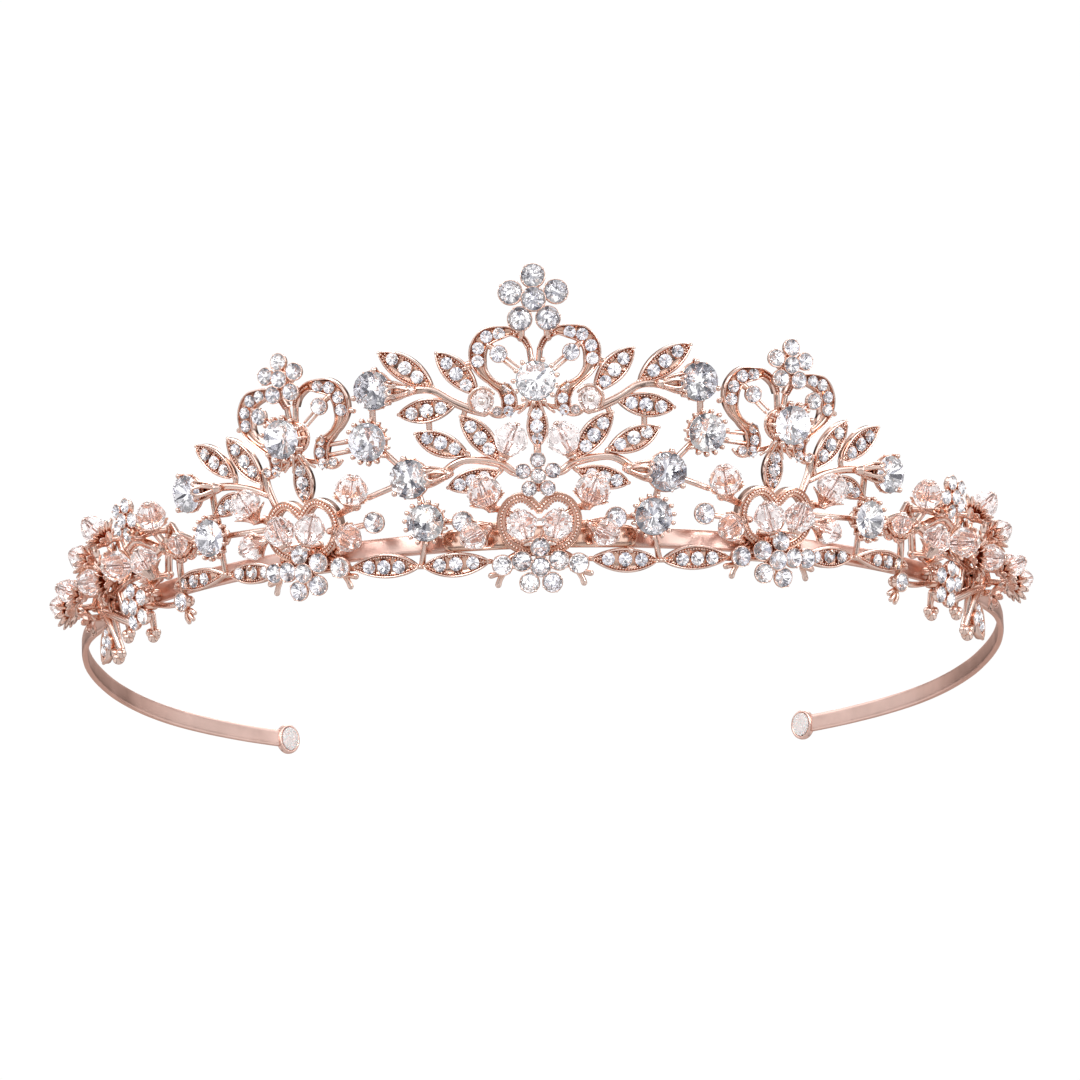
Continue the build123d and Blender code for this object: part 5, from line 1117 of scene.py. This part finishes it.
def band_course():
    """Centre line of the strip in its own plane, right half, from the front to the tip."""
    pts = []
    for deg in range(0, 68, 3):
        a = math.radians(deg)
        r = BAND_R + max(0.0, deg - 45) * 0.022
        pts.append((r * math.sin(a), -r * math.cos(a)))
    pts += [(71.2, -18.0), (73.2, -8.5), (74.0, 1.0), (74.0, 10.0), (73.2, 20.0), (71.6, 30.5), (68.6, 42.0), (64.6, 52.0), (59.4, 60.8), (53.6, 68.2), (48.9, 73.0), (46.9, 74.8)]
    p = [(x, (y + BAND_R) / math.cos(SLOPE)) for x, y in pts]
    return curve(p, 1.2)


def strip_section(k=20, t=BAND_T, h=BAND_H):
    a = np.linspace(0, 2 * math.pi, k, endpoint=False) + math.pi / k
    c, s_ = np.cos(a), np.sin(a)
    return np.stack([np.sign(c) * np.abs(c) ** 0.45 * t / 2, np.sign(s_) * np.abs(s_) ** 0.36 * h / 2], -1)


def strip_mesh(p, cap_a=True, cap_b=True, sec=None):
    sec = strip_section() if sec is None else sec
    t = tangents(p)
    nrm = np.stack([-t[:, 1], t[:, 0]], -1)
    x = p[:, None, 0] + nrm[:, None, 0] * sec[None, :, 0]
    y = p[:, None, 1] + nrm[:, None, 1] * sec[None, :, 0]
    z = np.broadcast_to(sec[None, :, 1], x.shape)
    v = (B0 + x[..., None] * BX + y[..., None] * BY + z[..., None] * BZ).reshape(-1, 3)
    k = len(sec)
    fs = [grid(len(p), k, True)]
    if cap_a:
        fs.append(np.arange(k)[None, ::-1])
    if cap_b:
        fs.append((np.arange(k) + (len(p) - 1) * k)[None, :])
    return v, fs


COURSE = band_course()
FRONT = int(np.argmin(np.abs(COURSE[:, 0] - 13.0)))
front = np.vstack([COURSE[1:FRONT + 1][::-1] * [-1, 1], COURSE[:FRONT + 1]])
put("C", "headband_center", strip_mesh(front), "strip")
put("R", "strip_side", strip_mesh(COURSE[FRONT:]), "strip")
# widened oval end with a shallow seat, and the soft pad in it
tipp, prev = COURSE[-1], COURSE[-4]
td = (tipp - prev) / np.linalg.norm(tipp - prev)
inw = np.array([-td[1], td[0]])
if inw @ (np.array([0, 60.0]) - tipp) < 0 and inw[0] > 0:
    inw = -inw
if inw[0] > 0:
    inw = -inw
tc = tipp + td * 1.6
TIP = (B0 + tc[0] * BX + tc[1] * BY, td[0] * BX + td[1] * BY, BZ.copy(), inw[0] * BX + inw[1] * BY)
if np.cross(TIP[1], TIP[2]) @ TIP[3] < 0:
    TIP = (TIP[0], -TIP[1], TIP[2], TIP[3])


def oval(rows, sides=36):
    """Rings (scale x, scale y, z) stitched into a closed oval body."""
    a = np.linspace(0, 2 * math.pi, sides, endpoint=False)
    pts = np.stack([np.stack([rx * np.cos(a), ry * np.sin(a), np.full(sides, z)], -1) for rx, ry, z in rows]).reshape(-1, 3)
    return at(TIP, pts), [grid(len(rows), sides, True), np.arange(sides)[None, ::-1], (np.arange(sides) + (len(rows) - 1) * sides)[None, :]]


W, H, T_ = 4.9 / 2, 5.3 / 2, 1.3
put("R", "strip_side", oval([(0.4, 0.45, -T_ / 2), (W - 0.7, H - 0.7, -T_ / 2), (W - 0.25, H - 0.25, -T_ / 2 + 0.06), (W - 0.05, H - 0.05, -T_ / 2 + 0.3), (W, H, 0.0), (W - 0.05, H - 0.05, T_ / 2 - 0.3),
                              (W - 0.2, H - 0.2, T_ / 2 - 0.05), (W - 0.45, H - 0.35, T_ / 2), (1.83, 2.13, T_ / 2 - 0.06), (1.79, 2.09, T_ / 2 - 0.2), (1.79, 2.09, T_ / 2 - 0.5), (0.5, 0.6, T_ / 2 - 0.5)]), "strip")
z0 = T_ / 2 - 0.48
put("R", "tip_pad", oval([(0.3, 0.35, z0), (1.62, 1.92, z0), (1.74, 2.04, z0 + 0.10), (1.75, 2.05, z0 + 0.5), (1.70, 2.0, z0 + 0.68), (1.56, 1.85, z0 + 0.82), (1.25, 1.5, z0 + 0.90), (0.8, 0.95, z0 + 0.94), (0.3, 0.35, z0 + 0.95)]), "pad")

# glossy plate in front of the strip, behind the centre motif
BL, BH, BT = 28.5, 3.4, 0.7
a = np.linspace(-BL / 2 / BAND_R, BL / 2 / BAND_R, 61)
r_mid = BAND_R + BAND_T / 2 + 0.02 + BT / 2
pp = np.stack([r_mid * np.sin(a), BAND_R - r_mid * np.cos(a)], -1)
end = np.minimum(1, (1 - np.abs(np.linspace(-1, 1, 61))) * BL / 2 / 1.5)
tall = np.sqrt(np.clip(1 - (1 - end) ** 2, 0.0225, 1))
sec = strip_section(20, BT, BH)
t = tangents(pp)
nrm = np.stack([-t[:, 1], t[:, 0]], -1)
x = pp[:, None, 0] + nrm[:, None, 0] * sec[None, :, 0]
y = pp[:, None, 1] + nrm[:, None, 1] * sec[None, :, 0]
z = sec[None, :, 1] * tall[:, None]
v = (B0 + x[..., None] * BX + y[..., None] * BY + z[..., None] * BZ).reshape(-1, 3)
put("C", "backing_plate", (v, [grid(61, 20, True), np.arange(20)[None, ::-1], (np.arange(20) + 60 * 20)[None, :]]), "plate")

# ---------------------------------------------------------------- materials
def tree(name):
    m = bpy.data.materials.new(name)
    m.use_nodes = True
    nt = m.node_tree
    return m, nt, nt.nodes["Principled BSDF"] if "Principled BSDF" in nt.nodes else nt.nodes.new("ShaderNodeBsdfPrincipled")


def node(nt, kind, **sets):
    n = nt.nodes.new(kind)
    for k, v in sets.items():
        if k in n.inputs:
            n.inputs[k].default_value = v
        else:
            setattr(n, k, v)
    return n


def ramp(nt, fac, stops, mode="LINEAR"):
    r = nt.nodes.new("ShaderNodeValToRGB")
    r.color_ramp.interpolation = mode
    el = r.color_ramp.elements
    el[0].position, el[0].color = stops[0][0], (*stops[0][1], 1)
    el[1].position, el[1].color = stops[-1][0], (*stops[-1][1], 1)
    for p, c in stops[1:-1]:
        e = el.new(p)
        e.color = (*c, 1)
    nt.links.new(fac, r.inputs[0])
    return r.outputs[0]


def place_coords(nt):
    return nt.nodes.new("ShaderNodeTexCoord").outputs["Object"]


def metal(name, base, deep, lit_open_colour, rough, bump, scale=900.0, brushed=False):
    """Plated metal with painted shade and light from ambient occlusion: deep orange in recesses, paler on open faces;
    fine surface waviness and grain, uneven polish.
    """
    m, nt, b = tree(name)
    L = nt.links.new
    co = place_coords(nt)
    fine = node(nt, "ShaderNodeTexNoise", Scale=scale, Detail=4.0, Roughness=0.6)
    broad = node(nt, "ShaderNodeTexNoise", Scale=170.0, Detail=3.0, Roughness=0.55)
    L(co, broad.inputs["Vector"])
    if brushed:
        mp = nt.nodes.new("ShaderNodeMapping")
        mp.inputs["Scale"].default_value = (0.10, 0.10, 2.2)
        L(co, mp.inputs["Vector"])
        L(mp.outputs[0], fine.inputs["Vector"])
    else:
        L(co, fine.inputs["Vector"])
    # painted shade and light: ambient occlusion picks the colour, deep orange in recesses and between parts, the base
    # colour further out and the paler colour on open faces
    ao = node(nt, "ShaderNodeAmbientOcclusion", Distance=0.0011)
    ao.samples = 4
    ao_shade_colour = ramp(nt, ao.outputs["AO"], [(0.0, deep), (0.42, tuple((x + y) / 2 for x, y in zip(deep, base))), (0.78, base), (1.0, lit_open_colour)])
    tint = node(nt, "ShaderNodeMix", data_type="RGBA", blend_type="MULTIPLY")
    tint.inputs[0].default_value = 1.0
    L(ao_shade_colour, tint.inputs[6])
    L(ramp(nt, broad.outputs["Fac"], [(0.30, (0.86, 0.84, 0.83)), (0.70, (1.0, 1.0, 1.0))]), tint.inputs[7])
    L(tint.outputs[2], b.inputs["Base Color"])
    b.inputs["Metallic"].default_value = 1.0
    rr = node(nt, "ShaderNodeMapRange")
    rr.inputs["To Min"].default_value = rough * 0.7
    rr.inputs["To Max"].default_value = rough * 1.5
    L(broad.outputs["Fac"], rr.inputs["Value"])
    L(rr.outputs[0], b.inputs["Roughness"])
    add = node(nt, "ShaderNodeMath", operation="ADD")
    L(fine.outputs["Fac"], add.inputs[0])
    L(broad.outputs["Fac"], add.inputs[1])
    bp = node(nt, "ShaderNodeBump", Strength=bump, Distance=0.00006)
    L(add.outputs[0], bp.inputs["Height"])
    L(bp.outputs[0], b.inputs["Normal"])
    return m


def crystal(name, tint, rough, ior, facet_shade_and_glow=None):
    """Clear cut glass, slightly tinted, with faint polishing marks; for the beads, painted shade darkens some facets at
    random and a faint painted pinkish glow lights them from within.
    """
    m, nt, b = tree(name)
    L = nt.links.new
    co = place_coords(nt)
    n = node(nt, "ShaderNodeTexNoise", Scale=420.0, Detail=2.0, Roughness=0.5)
    L(co, n.inputs["Vector"])
    shade = ramp(nt, n.outputs["Fac"], [(0.3, tint), (0.7, tuple(min(1.0, x + 0.03) for x in tint))])
    if facet_shade_and_glow:
        # painted shade: some facets are darkened at random, standing in for dark reflections in the facets
        fq = nt.nodes.new("ShaderNodeAttribute")
        fq.attribute_name = "facet"
        cut = node(nt, "ShaderNodeMix", data_type="RGBA", blend_type="MULTIPLY")
        cut.inputs[0].default_value = 1.0
        L(shade, cut.inputs[6])
        L(ramp(nt, fq.outputs["Fac"], [(0.0, (0.70, 0.62, 0.615)), (0.25, (0.88, 0.82, 0.815)), (0.6, (0.97, 0.94, 0.94)), (1.0, (1.0, 0.99, 0.99))]), cut.inputs[7])
        L(cut.outputs[2], b.inputs["Base Color"])
    else:
        L(shade, b.inputs["Base Color"])
    rr = node(nt, "ShaderNodeMapRange")
    rr.inputs["To Min"].default_value = rough * 0.4
    rr.inputs["To Max"].default_value = rough * 1.6
    L(n.outputs["Fac"], rr.inputs["Value"])
    L(rr.outputs[0], b.inputs["Roughness"])
    b.inputs["Transmission Weight"].default_value = 1.0
    b.inputs["IOR"].default_value = ior
    if facet_shade_and_glow:
        # painted light: the facets glow a faint pink, brighter on some at random, standing in for light caught inside
        # the crystal
        fa = nt.nodes.new("ShaderNodeAttribute")
        fa.attribute_name = "facet"
        L(ramp(nt, fa.outputs["Fac"], [(0.0, tuple(x * facet_shade_and_glow * 0.2 for x in (1.0, 0.88, 0.86))), (0.45, tuple(x * facet_shade_and_glow * 0.7 for x in (1.0, 0.93, 0.92))), (1.0, tuple(x * facet_shade_and_glow * 1.6 for x in (1.0, 0.97, 0.97)))]), b.inputs["Emission Color"])
        b.inputs["Emission Strength"].default_value = 1.0
    bp = node(nt, "ShaderNodeBump", Strength=0.05, Distance=0.00004)
    L(n.outputs["Fac"], bp.inputs["Height"])
    L(bp.outputs[0], b.inputs["Normal"])
    return m


def foil(name):
    """Mirror coating on the back of a stone, a little uneven from stone to stone; painted shade darkens some facets at
    random and a faint painted glow, brighter on some facets, lights the rest.
    """
    m, nt, b = tree(name)
    L = nt.links.new
    co = place_coords(nt)
    n = node(nt, "ShaderNodeTexNoise", Scale=650.0, Detail=2.0)
    L(co, n.inputs["Vector"])
    at_ = nt.nodes.new("ShaderNodeAttribute")
    at_.attribute_name = "tone"
    mix = node(nt, "ShaderNodeMath", operation="ADD")
    L(n.outputs["Fac"], mix.inputs[0])
    L(at_.outputs["Fac"], mix.inputs[1])
    half = node(nt, "ShaderNodeMath", operation="MULTIPLY")
    half.inputs[1].default_value = 0.5
    L(mix.outputs[0], half.inputs[0])
    shade = ramp(nt, half.outputs[0], [(0.2, (0.80, 0.80, 0.84)), (0.5, (0.92, 0.91, 0.93)), (0.8, (0.98, 0.97, 0.96))])
    # painted shade: some facets are darkened at random, standing in for dark reflections
    fa = nt.nodes.new("ShaderNodeAttribute")
    fa.attribute_name = "facet"
    cut = node(nt, "ShaderNodeMix", data_type="RGBA", blend_type="MULTIPLY")
    cut.inputs[0].default_value = 1.0
    L(shade, cut.inputs[6])
    L(ramp(nt, fa.outputs["Fac"], [(0.0, (0.40, 0.41, 0.45)), (0.20, (0.58, 0.58, 0.61)), (0.30, (1.0, 1.0, 1.0)), (1.0, (1.0, 1.0, 1.0))]), cut.inputs[7])
    L(cut.outputs[2], b.inputs["Base Color"])
    b.inputs["Metallic"].default_value = 1.0
    b.inputs["Roughness"].default_value = 0.06
    # painted light: a faint glow, brighter on some facets at random, standing in for light returned from inside the
    # stone
    L(ramp(nt, fa.outputs["Fac"], [(0.0, (0.02, 0.02, 0.025)), (0.25, (0.07, 0.07, 0.08)), (0.6, (0.16, 0.16, 0.165)), (1.0, (0.22, 0.215, 0.21))]), b.inputs["Emission Color"])
    b.inputs["Emission Strength"].default_value = 1.0
    return m


def silicone(name):
    m, nt, b = tree(name)
    L = nt.links.new
    co = place_coords(nt)
    n = node(nt, "ShaderNodeTexNoise", Scale=500.0, Detail=3.0)
    L(co, n.inputs["Vector"])
    L(ramp(nt, n.outputs["Fac"], [(0.3, (0.86, 0.78, 0.76)), (0.7, (0.93, 0.88, 0.87))]), b.inputs["Base Color"])
    b.inputs["Roughness"].default_value = 0.34
    b.inputs["Transmission Weight"].default_value = 0.35
    b.inputs["Subsurface Weight"].default_value = 0.35
    b.inputs["Subsurface Radius"].default_value = (0.9, 0.6, 0.55)
    b.inputs["Subsurface Scale"].default_value = 0.001
    b.inputs["IOR"].default_value = 1.41
    bp = node(nt, "ShaderNodeBump", Strength=0.15, Distance=0.00005)
    L(n.outputs["Fac"], bp.inputs["Height"])
    L(bp.outputs[0], b.inputs["Normal"])
    return m


# metal colours: base, painted shade for recesses, painted light for open faces; then roughness and bump strength
MATS = {
    "gold": metal("rose_gold_polished", (0.90, 0.60, 0.485), (0.66, 0.31, 0.17), (0.97, 0.76, 0.68), 0.14, 0.30),
    "gold_fine": metal("rose_gold_grains", (0.93, 0.65, 0.54), (0.70, 0.34, 0.19), (1.0, 0.84, 0.78), 0.11, 0.2, 1400.0),
    "strip": metal("rose_gold_satin", (0.955, 0.66, 0.57), (0.70, 0.38, 0.28), (0.985, 0.71, 0.63), 0.30, 0.10, 900.0, True),
    "plate": metal("rose_gold_plate", (0.90, 0.56, 0.42), (0.64, 0.28, 0.14), (0.95, 0.68, 0.56), 0.12, 0.15),
    "pin": metal("pin_wire", (0.92, 0.74, 0.67), (0.62, 0.42, 0.34), (0.98, 0.88, 0.84), 0.16, 0.2, 1400.0),
    "glass": crystal("clear_stone_glass", (1.0, 1.0, 1.0), 0.01, 1.52),
    "foil": foil("stone_foil"),
    # the beads carry painted facet shade and a painted pinkish glow
    "bead": crystal("crystal_bead_glass", (0.965, 0.92, 0.915), 0.04, 1.48, 0.085),
    "pad": silicone("soft_pad_silicone"),
}


# ---------------------------------------------------------------- meshes on their bodies
def build(name, chunks):
    V, F, MI, SM, TN, mats, off = [], [], [], [], [], [], 0
    for (v, fs), mat, smooth, tone in chunks:
        if mat not in mats:
            mats.append(mat)
        k = mats.index(mat)
        V.append(v)
        TN.append(np.full(len(v), tone))
        for f in fs:
            F += (np.asarray(f) + off).tolist()
            MI.append(np.full(len(f), k))
            SM.append(np.full(len(f), smooth))
        off += len(v)
    me = bpy.data.meshes.new(name)
    me.from_pydata((np.vstack(V) / 1000.0).tolist(), [], F)
    for k in mats:
        me.materials.append(MATS[k])
    me.polygons.foreach_set("material_index", np.concatenate(MI).astype(np.int32))
    me.polygons.foreach_set("use_smooth", np.concatenate(SM).astype(bool))
    q = me.attributes.new("facet", "FLOAT", "FACE")
    q.data.foreach_set("value", RNG.uniform(0, 1, len(me.polygons)).astype(np.float32))
    t = me.attributes.new("tone", "FLOAT", "POINT")
    t.data.foreach_set("value", np.concatenate(TN).astype(np.float32))
    me.update()
    o = bpy.data.objects.new(name, me)
    bpy.context.scene.collection.objects.link(o)
    return o


BODY_OF = {n: b for b, ns in frame["record"]["behaviour"]["bodies"].items() for n in ns}
split = np.array([73.653, -4.460, -8.388])
for key, chunks in sorted(CHUNKS.items()):
    side = key.split("_")[0]
    if key.endswith("strip_side"):
        o = build(side + "_strip", chunks)
        m = 1 if side == "right" else -1
        a, b = surf(100.0, -6.0, -2.0), (74.6, 9.0, -10.8)
        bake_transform(o)
        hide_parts("headband_" + side + "_arm")
        continue
    o = build("look_" + key, chunks)
    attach(o, BODY_OF[key])
    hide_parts(key)

# ---------------------------------------------------------------- stage: white sweep, studio light, camera
me = bpy.data.meshes.new("sweep")
prof = [(-2.2, -0.135)] + [(0.9 + 1.0 * math.sin(t), -0.135 + 1.0 - 1.0 * math.cos(t)) for t in np.linspace(0, math.pi / 2, 13)] + [(1.9, 3.0)]
vs = [(x, y, z) for y, z in prof for x in (-3.0, 3.0)]
me.from_pydata(vs, [], [(2 * i, 2 * i + 1, 2 * i + 3, 2 * i + 2) for i in range(len(prof) - 1)])
me.polygons.foreach_set("use_smooth", [True] * (len(prof) - 1))
sweep = bpy.data.objects.new("sweep", me)
bpy.context.scene.collection.objects.link(sweep)
m, nt, b = tree("white_sweep")
b.inputs["Base Color"].default_value = (0.9, 0.9, 0.9, 1)
b.inputs["Roughness"].default_value = 0.7
em = node(nt, "ShaderNodeEmission", Color=(1, 1, 1, 1), Strength=1.02)
lp = nt.nodes.new("ShaderNodeLightPath")
mx = nt.nodes.new("ShaderNodeMixShader")
nt.links.new(lp.outputs["Is Camera Ray"], mx.inputs[0])
nt.links.new(b.outputs[0], mx.inputs[1])
nt.links.new(em.outputs[0], mx.inputs[2])
nt.links.new(mx.outputs[0], nt.nodes["Material Output"].inputs[0])
me.materials.append(m)
sweep.visible_glossy = False

world = bpy.data.worlds.new("studio")
bpy.context.scene.world = world
world.use_nodes = True
nt = world.node_tree
nt.nodes.clear()
L = nt.links.new
tc = nt.nodes.new("ShaderNodeTexCoord")
sep = nt.nodes.new("ShaderNodeSeparateXYZ")
L(tc.outputs["Generated"], sep.inputs[0])
up01 = node(nt, "ShaderNodeMapRange")
up01.inputs["From Min"].default_value = -1.0
L(sep.outputs["Z"], up01.inputs["Value"])
lat = ramp(nt, up01.outputs[0], [(0.0, (0.66, 0.63, 0.62)), (0.36, (0.76, 0.74, 0.73)), (0.455, (0.86, 0.85, 0.85)), (0.47, (0.10, 0.09, 0.09)), (0.50, (0.07, 0.06, 0.06)), (0.52, (0.70, 0.70, 0.70)),
                                 (0.60, (0.86, 0.86, 0.86)), (0.625, (0.14, 0.12, 0.12)), (0.65, (0.14, 0.12, 0.12)), (0.675, (1.25, 1.25, 1.26)), (0.86, (1.40, 1.40, 1.41)), (0.93, (0.7, 0.7, 0.7)), (1.0, (0.35, 0.35, 0.35))])
side01 = node(nt, "ShaderNodeMapRange")
side01.inputs["From Min"].default_value = -1.0
L(sep.outputs["X"], side01.inputs["Value"])
lon = ramp(nt, side01.outputs[0], [(0.0, (1.0, 1.0, 1.0)), (0.20, (1.05, 1.05, 1.05)), (0.245, (0.12, 0.11, 0.11)), (0.275, (0.12, 0.11, 0.11)), (0.31, (1.0, 1.0, 1.0)), (0.47, (0.82, 0.82, 0.82)), (0.53, (0.82, 0.82, 0.82)),
                                   (0.69, (1.0, 1.0, 1.0)), (0.725, (0.12, 0.11, 0.11)), (0.755, (0.12, 0.11, 0.11)), (0.80, (1.05, 1.05, 1.05)), (1.0, (1.0, 1.0, 1.0))])
mul = node(nt, "ShaderNodeMix", data_type="RGBA", blend_type="MULTIPLY")
mul.inputs[0].default_value = 1.0
L(lat, mul.inputs[6])
L(lon, mul.inputs[7])
# the far side of the room is dim and warm, so every bar gets a thin darker outline
back01 = node(nt, "ShaderNodeMapRange")
back01.inputs["From Min"].default_value = -1.0
L(sep.outputs["Y"], back01.inputs["Value"])
far = node(nt, "ShaderNodeMix", data_type="RGBA", blend_type="MULTIPLY")
far.inputs[0].default_value = 1.0
L(mul.outputs[2], far.inputs[6])
L(ramp(nt, back01.outputs[0], [(0.0, (1.0, 1.0, 1.0)), (0.74, (1.0, 1.0, 1.0)), (0.90, (0.78, 0.62, 0.55)), (1.0, (0.68, 0.50, 0.43))]), far.inputs[7])
soft = node(nt, "ShaderNodeBackground", Strength=1.12)
L(far.outputs[2], soft.inputs[0])
# what the cut stones see: softboxes and dark gaps of the studio
vor = node(nt, "ShaderNodeTexVoronoi", Scale=2.6)
L(tc.outputs["Generated"], vor.inputs["Vector"])
sp = nt.nodes.new("ShaderNodeSeparateColor")
L(vor.outputs["Color"], sp.inputs[0])
gem_env = node(nt, "ShaderNodeBackground", Strength=1.0)
L(ramp(nt, sp.outputs[0], [(0.0, (0.05, 0.05, 0.06)), (0.18, (0.16, 0.16, 0.18)), (0.34, (0.42, 0.42, 0.45)), (0.42, (0.88, 0.87, 0.88)), (0.75, (1.02, 1.01, 1.01)), (1.0, (1.6, 1.6, 1.6))]), gem_env.inputs[0])
white = node(nt, "ShaderNodeBackground", Color=(1, 1, 1, 1), Strength=1.02)
lp = nt.nodes.new("ShaderNodeLightPath")
m1, m2 = nt.nodes.new("ShaderNodeMixShader"), nt.nodes.new("ShaderNodeMixShader")
L(lp.outputs["Is Transmission Ray"], m1.inputs[0])
L(soft.outputs[0], m1.inputs[1])
L(gem_env.outputs[0], m1.inputs[2])
L(lp.outputs["Is Camera Ray"], m2.inputs[0])
L(m1.outputs[0], m2.inputs[1])
L(white.outputs[0], m2.inputs[2])
out = nt.nodes.new("ShaderNodeOutputWorld")
L(m2.outputs[0], out.inputs[0])


def lamp(name, loc, target, power, size, size_y=None):
    l = bpy.data.lights.new(name, "AREA")
    l.energy, l.size = power, size
    if size_y:
        l.shape, l.size_y = "RECTANGLE", size_y
    o = bpy.data.objects.new(name, l)
    o.location = loc
    o.rotation_euler = (Vector(target) - Vector(loc)).to_track_quat("-Z", "Y").to_euler()
    bpy.context.scene.collection.objects.link(o)


lamp("key", (-0.55, -0.75, 0.75), (0, -0.05, 0.01), 5.5, 0.45)
lamp("fill", (0.75, -0.60, 0.35), (0, -0.05, 0.01), 2.6, 0.35)
lamp("rim", (0.1, 0.75, 0.65), (0, -0.03, 0.01), 3.0, 0.5)

cam = bpy.data.cameras.new("camera")
cam.lens, cam.sensor_width = 159.4, 36.0
cam.clip_start, cam.clip_end = 0.01, 50.0
camera = bpy.data.objects.new("camera", cam)
bpy.context.scene.collection.objects.link(camera)
camera.matrix_world = Matrix.Translation((0, -0.77344, -0.03323)) @ Matrix.Rotation(math.radians(93.0), 4, "X") @ Matrix.Rotation(math.radians(-1.6), 4, "Z")
bpy.context.scene.camera = camera
bpy.context.scene.view_settings.view_transform = "Standard"
